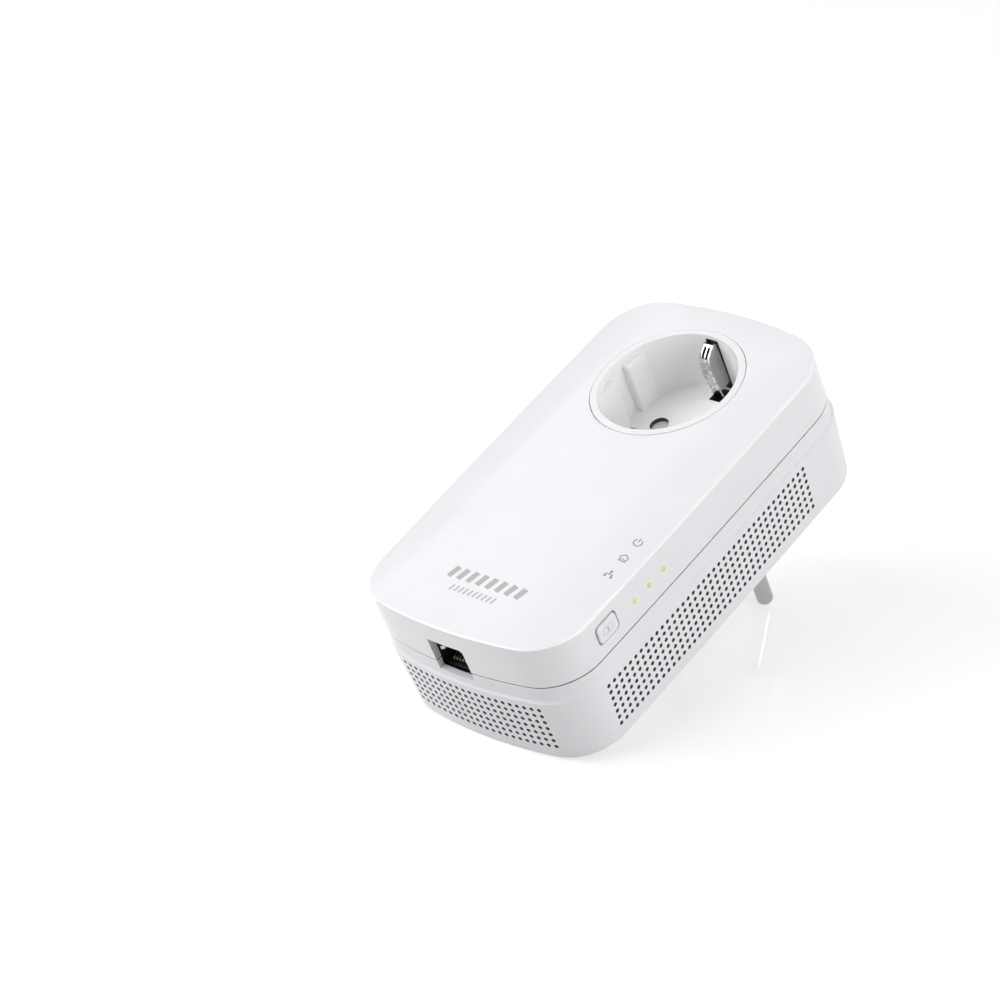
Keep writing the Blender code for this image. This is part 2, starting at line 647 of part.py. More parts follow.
def make_electronics(green, black, steel, brass, cream, copper, blue):
    top = at(BOARD_DEPTH)
    low = at(BOARD_DEPTH + BOARD_THICKNESS)
    edge = ((31.0, -21.6), (-31.0, -21.6), (-31.0, -81.0), (-21.0, -92.0), (21.0, -92.0), (31.0, -81.0))
    board = solid("main_board", prism(edge, "Y", top, low), green)
    for spot in SCREWS[2:]:
        cut(board, rod(((POST_RADIUS + 0.5, top - 1.0), (POST_RADIUS + 0.5, low + 1.0)), "Y", spot, 20))
    solid("powerline_chip", box((-15.0, top - 1.7, -65.0), (-1.0, top - GAP, -51.0)), black)
    sink = solid("heat_sink", box((-19.0, top - 11.0, -69.0), (3.0, top - 2.0, -47.0)), steel)
    for index in range(5):
        left = -17.0 + 3.8 * index
        cut(sink, box((left, top - 12.0, -70.0), (left + 2.2, top - 3.6, -46.0)))
    solid("ethernet_chip", box((9.0, top - 1.4, -79.0), (17.0, top - GAP, -71.0)), black)
    solid("network_transformer", box((-9.5, top - 6.0, -77.6), (6.5, top - GAP, -70.6)), black)
    core = solid("coupling_transformer", box((12.0, top - 8.0, -38.5), (23.0, top - 1.0, -30.5)), black)
    join(core, prism(rounded(4.0, 5.5, 2.0, (17.5, -34.5)), "Y", top - 9.0, top - GAP))
    solid("crystal", box((9.0, top - 1.5, -56.0), (14.0, top - GAP, -52.8)), steel)
    core = solid("supply_transformer", box((-25.0, low + 3.0, -64.5), (-6.0, low + 13.5, -46.5)), black)
    join(core, prism(rounded(7.0, 11.0, 3.0, (-15.5, -55.5)), "Y", low + 1.2, low + 15.4))
    join(core, box((-24.0, low + GAP, -66.5), (-7.0, low + 2.0, -44.5)))
    capacitor = (low + GAP + 6.6, 15.0)
    profile = ((5.6, -66.0), (6.3, -65.4), (6.3, -45.6), (5.6, -45.0))
    solid("bulk_capacitor", rod(profile, "Z", (capacitor[1], capacitor[0]), 24), blue)
    plan = rounded(9.0, 3.5, 0.8, (1.0, -30.5), 2)
    solid("suppression_capacitor", prism(plan, "Y", low + GAP, low + 12.5), cream)
    ring = []
    for index in range(20):
        angle = 2.0 * math.pi * index / 20.0
        ring.append([])
        for corner in range(8):
            around = 2.0 * math.pi * corner / 8.0
            radius = 6.0 + 2.6 * math.cos(around)
            x = -20.0 + radius * math.cos(angle)
            z = -35.0 + radius * math.sin(angle)
            ring[-1].append((x, low + 3.2 + 2.6 * math.sin(around), z))
    points = [point for section in ring for point in section]
    faces = []
    for index in range(20):
        for corner in range(8):
            here, after = index * 8, ((index + 1) % 20) * 8
            following = (corner + 1) % 8
            faces.append((here + corner, here + following, after + following, after + corner))
    solid("noise_choke", new_mesh(points, faces), copper)
    solid("input_fuse", rod(((2.1, -6.0), (2.1, 6.0)), "X", (low + 2.6, -38.0), 12), cream)
    solid("surge_varistor", rod(((4.6, 24.0), (4.6, 27.0)), "X", (low + 5.2, -50.0), 20), blue)


def make_label(paper):
    outline = rounded(19.9, 20.9, 1.5, (0.0, -55.0))
    solid("rating_label", prism(outline, "Y", BACK_Y - 0.28, BACK_Y - 0.08), paper)


def main():
    clear_scene()
    white = plastic("gloss_white", (0.86, 0.87, 0.88), 0.22)
    light = plastic("light_grey", (0.70, 0.71, 0.73), 0.40)
    black = plastic("black_plastic", (0.03, 0.03, 0.035), 0.45)
    clear = plastic("clear_lens", (0.72, 0.84, 0.40), 0.15)
    cream = plastic("moulded_cream", (0.72, 0.68, 0.52), 0.50)
    green = plastic("board_green", (0.04, 0.20, 0.09), 0.45)
    glow = plastic("led_body", (0.85, 0.88, 0.70), 0.30)
    blue = plastic("sleeve_blue", (0.05, 0.10, 0.28), 0.40)
    paper = plastic("label_paper", (0.80, 0.80, 0.79), 0.60)
    steel = plastic("bright_steel", (0.72, 0.73, 0.74), 0.18, 1.0)
    brass = plastic("contact_brass", (0.75, 0.58, 0.25), 0.25, 1.0)
    gold = plastic("contact_gold", (0.90, 0.68, 0.30), 0.20, 1.0)
    copper = plastic("winding_copper", (0.60, 0.28, 0.12), 0.35, 1.0)

    make_front_cover(white)
    make_rear_housing(white)
    make_socket_insert(white)
    make_plug_body(white)
    make_socket_parts(light, light, brass, steel)
    make_plug_parts(steel)
    make_screws(steel)
    make_jack(black, steel, gold)
    make_controls(white, clear, black, steel, green, glow)
    make_electronics(green, black, steel, brass, cream, copper, blue)
    make_label(paper)


main()
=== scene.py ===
"""Looks of the pass-through powerline adapter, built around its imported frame.

Lengths are in millimetres in the shared frame: +Y into the wall, +Z up. A depth counts from the
level of the flat front face towards the wall.
"""
from math import acos, asin, atan2, copysign, cos, hypot, pi, radians, sin, sqrt

import bmesh
import bpy
from mathutils import Matrix, Vector


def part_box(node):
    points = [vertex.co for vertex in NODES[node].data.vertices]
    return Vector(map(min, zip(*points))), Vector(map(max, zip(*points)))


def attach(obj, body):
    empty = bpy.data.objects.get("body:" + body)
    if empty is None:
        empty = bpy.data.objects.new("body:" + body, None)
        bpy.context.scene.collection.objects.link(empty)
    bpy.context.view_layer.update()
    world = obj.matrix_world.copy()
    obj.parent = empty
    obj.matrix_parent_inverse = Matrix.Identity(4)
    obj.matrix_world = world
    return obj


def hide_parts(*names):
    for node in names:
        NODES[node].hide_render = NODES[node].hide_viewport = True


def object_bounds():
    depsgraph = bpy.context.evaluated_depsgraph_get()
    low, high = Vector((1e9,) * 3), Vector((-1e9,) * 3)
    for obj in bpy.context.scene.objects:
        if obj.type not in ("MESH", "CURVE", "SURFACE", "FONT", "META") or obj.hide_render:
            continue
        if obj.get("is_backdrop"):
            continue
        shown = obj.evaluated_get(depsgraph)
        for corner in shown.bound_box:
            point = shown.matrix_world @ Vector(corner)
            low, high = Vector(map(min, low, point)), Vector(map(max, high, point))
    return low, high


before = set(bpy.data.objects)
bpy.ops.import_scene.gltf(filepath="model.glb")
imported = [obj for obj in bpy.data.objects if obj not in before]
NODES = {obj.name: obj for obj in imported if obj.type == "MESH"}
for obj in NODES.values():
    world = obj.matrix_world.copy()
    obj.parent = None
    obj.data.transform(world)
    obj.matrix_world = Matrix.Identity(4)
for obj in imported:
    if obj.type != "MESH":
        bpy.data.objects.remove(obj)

CAD_LOW, CAD_HIGH = (corner.copy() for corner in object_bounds())
SCENE = bpy.context.scene


def span(node):
    """Lowest and highest corner of a node, in millimetres."""
    low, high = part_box(node)
    return low * 1000.0, high * 1000.0


def middle(node):
    low, high = span(node)
    return (low + high) / 2.0


GAP = 0.3  # room between neighbouring pieces
BODY_DEPTH = 40.4
BACK_Y = span("rear_housing")[1].y
FRONT_Y = BACK_Y - BODY_DEPTH
SOCKET_Z = middle("socket_insert").z
MIDDLE_Z = -32.0
SEAM = 14.4  # depth of the cover's back edge
SEAM_TRIM = 0.14  # both edges at the seam are broken by this much
EDGE = 0.5  # rounding of the cover's front edge
COVER_SHEET = 2.0
HOUSING_FRONT, HOUSING_FLOOR, HOUSING_BACK = 14.7, 38.2, 39.85
BACK_ROUND = 0.55
BOSS_HOLE = 18.9

VENT_ALONG, VENT_DEEP = 2.25, 2.3  # spacing
VENT_RADIUS, VENT_SIDES = 0.62, 16
SIDE_COLUMNS, END_COLUMNS, VENT_ROWS = 39, 22, 7
SIDE_START = -81.625
CORNER_COLUMNS = 18
VENT_LEVELS = [21.05 + VENT_DEEP * index for index in range(VENT_ROWS + 1)]

RING_RADIUS, RING_COLLAR, RING_GAP = 21.5, 2.0, 0.15
WELL_RADIUS, WELL_FLOOR = 19.5, 17.3
PIN_X, PIN_RADIUS, PIN_HOLE = 9.5, 2.4, 2.7
CHANNEL, CHANNEL_REACH = 2.1, 20.6  # half width and outer reach of the clips' channels
RIB_FACE, RIB_SLOT, RIB_TOP = 16.9, 2.7, 1.5
SCREWS, CONTACTS = (1, 2, 3, 4), range(1, 9)
LEDS = [middle("status_led_%d" % number) for number in (1, 2, 3)]
BUTTON_HALF = (2.75, 3.75)
CONTACT_PITCH = 1.016


# ---- materials ----

FINISH = {}
# how far convex edges lighten, partly as wear and partly as a painted highlight
EDGE_WEAR_AND_HIGHLIGHT = 0.3
COAT_ROUGHNESS = 0.04


def fill(tree, made, **values):
    """Set a node's inputs, or link the ones that are given as another node's output."""
    for key, value in values.items():
        name = key.replace("_", " ")
        socket = next(found for found in made.inputs if found.enabled and found.name == name)
        if isinstance(value, bpy.types.NodeSocket):
            tree.links.new(value, socket)
        else:
            socket.default_value = (*value, 1.0) if socket.type == "RGBA" else value


def node(tree, kind, **values):
    """New node: names in lower case are its settings, and capitalised ones its inputs."""
    made = tree.nodes.new("ShaderNode" + kind)
    for key, value in values.items():
        if key.islower():
            setattr(made, key, value)
    fill(tree, made, **{key: value for key, value in values.items() if not key.islower()})
    return made


def noise(tree, vector, scale, detail=3.0, rough=0.5):
    return node(tree, "TexNoise", Vector=vector, Scale=scale, Detail=detail,
                Roughness=rough).outputs["Fac"]


def remap(tree, value, low, high, to_low, to_high):
    return node(tree, "MapRange", Value=value, From_Min=low, From_Max=high, To_Min=to_low,
                To_Max=to_high).outputs["Result"]


def mix(tree, factor, first, second):
    made = node(tree, "Mix", data_type="RGBA", Factor=factor, A=first, B=second)
    return next(socket for socket in made.outputs if socket.enabled)


def mottled(tree, spot, scale, dull, bright):
    """Colour that drifts between two tones over the surface."""
    tone = remap(tree, noise(tree, spot, scale), 0.3, 0.7, 0.0, 1.0)
    return mix(tree, tone, dull, bright)


def scaled(colour, factor):
    return tuple(min(1.0, channel * factor) for channel in colour)


def new_material(name):
    material = bpy.data.materials.new(name)
    material.use_nodes = True
    FINISH[name] = material
    return material.node_tree, material.node_tree.nodes["Principled BSDF"]


def surface(name, colour, roughness, metallic=0.0, shade=0.03, mottle=70.0, grain=2200.0,
            relief=0.004, stretch=None, coat=0.0, glow=None, power=0.0, extra=None, vary=0.25):
    """Moulded, printed or metal surface: mottled colour, edges lighter as wear and painted
    highlight, uneven gloss, fine relief.
    """
    tree, shader = new_material(name)
    spot = fine = node(tree, "TexCoord").outputs["Object"]
    if stretch:
        fine = node(tree, "Mapping", Vector=spot, Scale=stretch).outputs["Vector"]
    base = mottled(tree, spot, mottle, scaled(colour, 1.0 - shade), scaled(colour, 1.0 + shade))
    # Convex edges turn lighter: partly wear, partly a painted highlight.
    edge = node(tree, "NewGeometry").outputs["Pointiness"]
    base = mix(tree, remap(tree, edge, 0.52, 0.62, 0.0, EDGE_WEAR_AND_HIGHLIGHT), base, scaled(colour, 1.25))
    if extra:
        base = extra(tree, spot, base)
    speck = noise(tree, fine, grain, 2.0, 0.6)
    rough = remap(tree, speck, 0.25, 0.75, roughness * (1.0 - vary), roughness * (1.0 + vary))
    bump = node(tree, "Bump", Strength=1.0, Distance=relief * 0.001, Height=speck)
    fill(tree, shader, Base_Color=base, Roughness=rough, Normal=bump.outputs["Normal"],
         Metallic=metallic, Coat_Weight=coat, Coat_Roughness=COAT_ROUGHNESS)
    if glow:
        fill(tree, shader, Emission_Color=glow, Emission_Strength=power)


WHITE = (0.855, 0.862, 0.885)
# Painted light of the lit status lenses on the wall round them: its colour, then where it sits and
# how far it reaches
PAINTED_GLOW_COLOUR = (0.90, 0.92, 0.62)
PAINTED_GLOW_X, PAINTED_GLOW_NEAR, PAINTED_GLOW_FAR = 0.0358, 0.0006, 0.0020  # metres


def painted_led_glow(tree, spot, base):
    """Painted light: the wall round each status lens takes a soft pale yellow glow of the lit lens.
    """
    for led in LEDS:
        far = node(tree, "VectorMath", operation="DISTANCE", Vector=spot)
        far.inputs[1].default_value = (PAINTED_GLOW_X, led.y / 1000.0, led.z / 1000.0)
        near = remap(tree, far.outputs["Value"], PAINTED_GLOW_NEAR, PAINTED_GLOW_FAR, 0.75, 0.0)
        base = mix(tree, near, base, PAINTED_GLOW_COLOUR)
    return base


surface("gloss_white", WHITE, 0.20, shade=0.012, relief=0.0015, grain=900.0, coat=0.25,
        extra=painted_led_glow)
# Pure white painted on the rounding of the cover's front edge as a highlight line.
surface("painted_edge_highlight", (1.0, 1.0, 1.0), 0.18, shade=0.0, relief=0.001, grain=900.0, coat=0.25)
surface("satin_white", scaled(WHITE, 0.995), 0.30, shade=0.010, relief=0.0012, grain=2600.0,
        vary=0.12)
# White lighter than the body's plastic, painting light into the deep socket well; the plug's body
# takes it too.
surface("lightened_white_painted_light", (0.97, 0.972, 0.976), 0.24, shade=0.01, relief=0.002, grain=1800.0)
# Near-black painted in the socket's channels, openings and pin holes and in the clips' slots, where
# there is only shadow.
surface("painted_shadow_black", (0.055, 0.055, 0.06), 0.6, shade=0.08)
# Dark grey painted on the housing's inside and the vents' walls, where there is shade.
surface("painted_vent_shadow", (0.17, 0.17, 0.175), 0.6, shade=0.08)
surface("shutter_white", (0.80, 0.805, 0.815), 0.40, shade=0.02)
surface("button_white", scaled(WHITE, 1.02), 0.26, shade=0.012, relief=0.003)
surface("light_grey", (0.42, 0.425, 0.44), 0.42, shade=0.04)
surface("black_plastic", (0.012, 0.012, 0.013), 0.42, shade=0.15, relief=0.006)
surface("bright_steel", (0.66, 0.665, 0.68), 0.16, 1.0, shade=0.05, stretch=(1.0, 1.0, 0.05),
        relief=0.0015, grain=5000.0)
# Strong dark and bright patches on the clip's steel: painted reflections.
surface("clip_steel_painted_glints", (0.56, 0.56, 0.57), 0.10, 1.0, shade=0.55, mottle=1100.0,
        stretch=(1.0, 0.4, 1.0), relief=0.035, grain=1300.0)
# Darker copy of the clip's steel on its folded sides: painted shade.
surface("flange_steel_painted_shade", (0.40, 0.40, 0.405), 0.36, 1.0, shade=0.10, relief=0.003)
surface("pin_steel", (0.43, 0.435, 0.44), 0.09, 1.0, shade=0.05, stretch=(1.0, 0.04, 1.0),
        relief=0.0015, grain=5000.0)
surface("shield_steel", (0.52, 0.53, 0.54), 0.30, 1.0, shade=0.08, grain=3000.0)
surface("contact_gold", (0.62, 0.47, 0.34), 0.28, 1.0, shade=0.06, grain=4000.0)
surface("contact_brass", (0.72, 0.54, 0.24), 0.30, 1.0, shade=0.08)
surface("winding_copper", (0.62, 0.27, 0.11), 0.38, 1.0, shade=0.15, grain=1500.0,
        stretch=(1.0, 1.0, 8.0), relief=0.05)
surface("sink_aluminium", (0.70, 0.71, 0.72), 0.36, 1.0, shade=0.05, stretch=(0.05, 1.0, 1.0))
surface("board_green", (0.012, 0.085, 0.035), 0.38, shade=0.25, mottle=400.0, relief=0.01)
surface("moulded_cream", (0.62, 0.55, 0.34), 0.50, shade=0.06)
surface("sleeve_blue", (0.02, 0.05, 0.20), 0.32, shade=0.10)
surface("print_grey", (0.27, 0.275, 0.285), 0.45, shade=0.05, grain=4000.0)
surface("print_badge", (0.44, 0.44, 0.445), 0.40, shade=0.04, grain=4000.0)
surface("print_pale", (0.66, 0.665, 0.675), 0.40, grain=4000.0)
surface("label_paper", (0.66, 0.665, 0.67), 0.55, grain=3500.0)
surface("lens_glow", (0.86, 0.88, 0.68), 0.22, glow=(0.85, 0.95, 0.50), power=0.06)
surface("lens_ring", (0.52, 0.56, 0.22), 0.25, shade=0.06, glow=(0.70, 0.80, 0.20), power=0.05)
surface("led_body", (0.80, 0.82, 0.62), 0.30, glow=(0.62, 0.95, 0.12), power=0.5)


# ---- mesh tools ----

SMOOTH_ANGLE = radians(32.0)


def at(depth):
    """Y of a point this deep behind the level of the flat front face."""
    return FRONT_Y + depth


def new_mesh(points, faces, inside=()):
    """Mesh whose faces numbered in inside take the second material."""
    mesh = bmesh.new()
    corners = [mesh.verts.new(point) for point in points]
    for index, face in enumerate(faces):
        made = mesh.faces.new([corners[number] for number in face])
        if index in inside:
            made.material_index = 1
    bmesh.ops.recalc_face_normals(mesh, faces=mesh.faces)
    return mesh


def loft(rings, wrap=False):
    """Body through rings of equal length: capped on both ends, or joined round with wrap."""
    count, levels = len(rings[0]), len(rings)
    points = [point for ring in rings for point in ring]
    faces = []
    for level in range(levels if wrap else levels - 1):
        here, above = level * count, (level + 1) % levels * count
        for index in range(count):
            after = (index + 1) % count
            faces.append((here + index, here + after, above + after, above + index))
    if not wrap:
        faces.append(tuple(range(count)))
        faces.append(tuple(range(len(points) - count, len(points))))
    return new_mesh(points, faces)


def place(first, second, along, axis):
    if axis == "X":
        return (along, first, second)
    if axis == "Y":
        return (first, along, second)
    return (first, second, along)


def stack(levels, axis, wrap=False):
    """Body through flat outlines, given as (along, outline) pairs."""
    return loft([[place(first, second, along, axis) for first, second in plan]
                 for along, plan in levels], wrap)


def prism(plan, axis, low, high):
    return stack(((low, plan), (high, plan)), axis)


def box(low, high):
    plan = ((low[0], low[1]), (high[0], low[1]), (high[0], high[1]), (low[0], high[1]))
    return prism(plan, "Z", low[2], high[2])


def spread(start, stop, steps):
    return [start + (stop - start) * index / steps for index in range(steps + 1)]


def polar(radius, turn, centre=(0.0, 0.0)):
    return (centre[0] + radius * cos(turn), centre[1] + radius * sin(turn))


def circle(radius, steps, centre):
    return [polar(radius, 2.0 * pi * index / steps, centre) for index in range(steps)]


def rounded(half_first, half_second, radius, centre, steps=6):
    """Rectangle with round corners."""
    points = []
    for quarter, (right, up) in enumerate(((1, 1), (-1, 1), (-1, -1), (1, -1))):
        hub = (centre[0] + right * (half_first - radius), centre[1] + up * (half_second - radius))
        points += [polar(radius, radians(90.0 * (quarter + index / steps)), hub)
                   for index in range(steps + 1)]
    return points


def rod(profile, axis, centre, steps=48, wrap=False):
    """Body of revolution: a profile of (radius, along) pairs."""
    return stack([(along, circle(radius, steps, centre)) for radius, along in profile], axis, wrap)


def arc(centre, radius, start, stop, steps):
    """Points on an arc, angles in degrees."""
    return [polar(radius, radians(angle), centre) for angle in spread(start, stop, steps)]


def round_edge(centre, radius, start, stop, steps):
    """Rounded part of a body's profile: (radius, along) pairs from an arc of (radius, depth)."""
    return [(first, at(depth)) for first, depth in arc(centre, radius, start, stop, steps)]


def smooth_path(points, per_span):
    """Curve through the points (Catmull-Rom)."""
    line = [Vector(point) for point in points]
    made = []
    for before, start, stop, after in zip(line[:1] + line, line, line[1:], line[2:] + line[-1:]):
        for step in range(per_span):
            t = step / per_span
            made.append(0.5 * (2.0 * start + (stop - before) * t
                               + (2.0 * before - 5.0 * start + 4.0 * stop - after) * t * t
                               + (3.0 * start - before - 3.0 * stop + after) * t * t * t))
    return made + line[-1:]


def with_neighbours(line, closed=False):
    """Each point of a line with the one before and the one after it."""
    spots = [Vector(spot) for spot in line]
    first, last = (spots[-1], spots[0]) if closed else (spots[0], spots[-1])
    return zip([first] + spots[:-1], spots, spots[1:] + [last])


def across(before, after):
    """Unit vector across the way from one flat point to another."""
    along = (after - before).normalized()
    return Vector((-along.y, along.x))


def sweep(path, section, closed=False):
    """Body along a path in Y and Z, from a section of X and distance to the side of the path."""
    rings = []
    for before, here, after in with_neighbours(path, closed):
        normal = across(before, after)
        rings.append([(x, here.x + normal.x * off, here.y + normal.y * off) for x, off in section])
    return loft(rings, closed)


def strip(path, thickness, low, high, edge):
    """Sheet metal strip bent in the plane across X, its long edges rounded off."""
    centre = ((low + high) / 2.0, 0.0)
    return sweep(path, rounded((high - low) / 2.0, thickness / 2.0, edge, centre, 3))


def link(name, data):
    made = bpy.data.objects.new(name, data)
    SCENE.collection.objects.link(made)
    return made


def finish_mesh(made):
    made.data.shade_smooth()
    made.data.set_sharp_from_angle(angle=SMOOTH_ANGLE)


def build(name, mesh, materials):
    """Object from a mesh given in millimetres in the shared frame."""
    bmesh.ops.scale(mesh, verts=mesh.verts, vec=(0.001, 0.001, 0.001))
    data = bpy.data.meshes.new(name)
    mesh.to_mesh(data)
    mesh.free()
    for material in materials:
        data.materials.append(material)
    made = link(name, data)
    finish_mesh(made)
    return made


def thing(name, mesh, *finishes):
    return build(name, mesh, [FINISH[finish] for finish in finishes])


def together(meshes):
    """One mesh from several that don't touch."""
    whole = bmesh.new()
    for mesh in meshes:
        data = bpy.data.meshes.new("part")
        mesh.to_mesh(data)
        mesh.free()
        whole.from_mesh(data)
        bpy.data.meshes.remove(data)
    return whole


def dark(mesh, number=1):
    """Faces that this tool leaves behind take the piece's second material, or the one numbered."""
    for face in mesh.faces:
        face.material_index = number
    return mesh


def combine(made, meshes, operation):
    tool = build("tool", together(meshes), made.data.materials)
    change = made.modifiers.new("change", "BOOLEAN")
    change.operation = operation
    change.solver = "EXACT"
    change.object = tool
    bpy.context.view_layer.update()
    graph = bpy.context.evaluated_depsgraph_get()
    result = bpy.data.meshes.new_from_object(made.evaluated_get(graph))
    made.modifiers.remove(change)
    made.data = result
    bpy.data.objects.remove(tool, do_unlink=True)
    made.data.name = made.name
    finish_mesh(made)


def cut(made, meshes):
    combine(made, meshes, "DIFFERENCE")


def join(made, meshes):
    combine(made, meshes, "UNION")


def even_normals(made):
    change = made.modifiers.new("normals", "WEIGHTED_NORMAL")
    change.keep_sharp = True
    change.weight = 60


def piece(made, slot, *replaced, body="housing"):
    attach(made, body)
    if replaced:
        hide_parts(*replaced)


# ---- body shape ----

# An outline's shape is its half width, upper end, lower end and corner radius.
ARCH = {1.0: 170.0, -1.0: 135.0}  # radius of the arched upper and lower end
SHARES = (0.012, 0.05, 0.12, 0.2, 0.3, 0.4, 0.5, 0.6, 0.7, 0.8, 0.88, 0.94, 0.98)
INNER_SHARES = (0.9, 0.5, 0.2, 0.05)
QUARTER = [radians(angle) for angle in (0.0, 18.0, 36.0, 54.0, 72.0, 90.0)]

# Each row is a depth and the shape there.
COVER = ((0.5, 35.45, 32.1, -96.5, 15.0), (SEAM, 35.4, 31.9, -96.3, 14.9))
COVER_LEVELS = (14.26, 13.4, 12.4, 11.4, 10.4, 9.4, 8.4, 7.4, 6.4, 5.4, 4.4, 3.4, 2.4, 1.5, 0.8,
                EDGE + 0.05)
COVER_IN = ((33.3, 30.0, -94.2, 13.0), (33.4, 30.1, -94.3, 13.0), (33.5, 30.2, -94.4, 13.0))
HOUSING = ((HOUSING_FRONT, 35.4, 31.9, -96.3, 14.9), (19.1, 35.44, 31.92, -96.34, 14.9),
           (19.2, 35.46, 31.93, -96.36, 14.91), (19.75, 35.88, 32.25, -96.84, 15.1),
           (19.9, 35.93, 32.28, -96.89, 15.12), (20.15, 35.95, 32.29, -96.9, 15.13),
           (HOUSING_BACK, 34.6, 31.15, -96.15, 14.4))
HOUSING_LEVELS = [14.84, 15.7, 16.6, 17.5, 18.4, 19.1, 19.2, 19.47, 19.75, 19.9, 20.15]
HOUSING_IN = ((HOUSING_FRONT, 33.5, 30.2, -94.4, 13.0), (19.4, 34.0, 30.6, -94.8, 13.2),
              (HOUSING_FLOOR, 32.6, 29.2, -94.0, 12.2))


def face_depth(x, z):
    """Depth of the front face: a crown across its width, less a dome that fades at its edges."""
    wide = max(0.0, 1.0 - (x / 35.3) ** 4)
    tall = max(0.0, 1.0 - ((z - MIDDLE_Z) / 64.2) ** 4)
    return 1.6 * (x / 36.0) ** 2 - 1.5 * wide * tall


def bow(x, z):
    """The long sides bulge a little half way along."""
    reach = max(0.0, 1.0 - ((z - MIDDLE_Z) / 60.0) ** 2)
    return copysign(0.5 * reach * (abs(x) / 36.0) ** 4, x)


def end_arch(shape, sign):
    """Z of the arch's centre at one end, and from there how far out the corners' centres lie."""
    half, top, bottom, corner = shape
    offset = sqrt((ARCH[sign] - corner) ** 2 - (half - corner) ** 2)
    return (top if sign > 0 else bottom) - sign * ARCH[sign], offset


def end_point(shape, sign, x):
    """Point of an arched end at this x, sign -1 for the lower end."""
    half, corner = shape[0], shape[3]
    arch = ARCH[sign]
    centre_z, offset = end_arch(shape, sign)
    reach = half - corner
    limit = reach + corner * reach / (arch - corner)
    if abs(x) <= limit:
        return centre_z + sign * sqrt(arch * arch - x * x)
    return centre_z + sign * (offset + sqrt(max(corner ** 2 - (abs(x) - reach) ** 2, 0.0)))


def corner_centre(shape, sign):
    centre_z, offset = end_arch(shape, sign)
    return shape[0] - shape[3], centre_z + sign * offset


def outline(shape):
    """Closed outline whose points keep to the lattice of the vents in every ring."""
    half, corner = shape[0], shape[3]
    low, high = corner_centre(shape, -1.0), corner_centre(shape, 1.0)
    columns = [index * VENT_ALONG for index in range(END_COLUMNS // 2 + 1)]
    right = [(x, end_point(shape, -1.0, x)) for x in columns]
    start = acos((columns[-1] - low[0]) / corner)
    stop = asin(min(1.0, max(0.0, (low[1] - SIDE_START) / corner)))
    right += [polar(corner, -turn, low) for turn in spread(start, stop, CORNER_COLUMNS)[1:-1]]
    rows = [SIDE_START + VENT_ALONG * index for index in range(SIDE_COLUMNS + 1)]
    right += [(low[0] + sqrt(corner ** 2 - max(0.0, low[1] - z) ** 2), z) for z in rows]
    right += [(half, z) for z in spread(rows[-1], high[1], 5)[1:-1]]
    stop = acos((columns[-1] - high[0]) / corner)
    right += [polar(corner, turn, high) for turn in spread(0.0, stop, CORNER_COLUMNS)[:-1]]
    right += [(x, end_point(shape, 1.0, x)) for x in columns[::-1]]
    full = right + [(-x, z) for x, z in right[-2:0:-1]]
    return [(x + bow(x, z), z) for x, z in full]


COLUMNS = len(outline((36.0, 32.5, -96.8, 15.0)))
END_FIRST = END_COLUMNS // 2
SIDE_FIRST = END_FIRST + CORNER_COLUMNS
TOP_FIRST = SIDE_FIRST + SIDE_COLUMNS + 4 + CORNER_COLUMNS + 1
VENT_CELLS = set(range(END_FIRST)) | set(range(SIDE_FIRST, SIDE_FIRST + SIDE_COLUMNS))
VENT_CELLS |= set(range(TOP_FIRST, TOP_FIRST + END_FIRST))
VENT_CELLS |= {COLUMNS - 1 - cell for cell in list(VENT_CELLS)}


def blend_shape(profile, depth):
    """Shape at this depth, straight between the two nearest rows of the profile."""
    for (first, *before), (second, *after) in zip(profile, profile[1:]):
        if depth <= second:
            share = max(0.0, (depth - first) / (second - first))
            return tuple(a + (b - a) * share for a, b in zip(before, after))
    return tuple(profile[-1][1:])


def shrunk(shape, by):
    return (shape[0] - by, shape[1] - by, shape[2] + by, shape[3] - by)


def level_ring(line, depth, crowned=0.0):
    """Ring at this depth that follows a share of the front face's crown."""
    return [(x, at(depth + face_depth(x, z) * crowned), z) for x, z in line]


def ring_at(shape, depth, crowned=0.0):
    return level_ring(outline(shape), depth, crowned)


def hole_line(radius, centre_z, rim):
    """Points of a round hole that face those of the outline rim."""
    return [polar(radius, atan2(z - centre_z, x), (0.0, centre_z)) for x, z in rim]


def face_rings(rim, radius, centre_z, depth, shares, crowned=0.0):
    """Rings that spread over a face from its rim to a round hole."""
    hole = hole_line(radius, centre_z, rim)
    return [level_ring([(x + (to_x - x) * share, z + (to_z - z) * share)
                        for (x, z), (to_x, to_z) in zip(rim, hole)], depth, crowned)
            for share in shares]


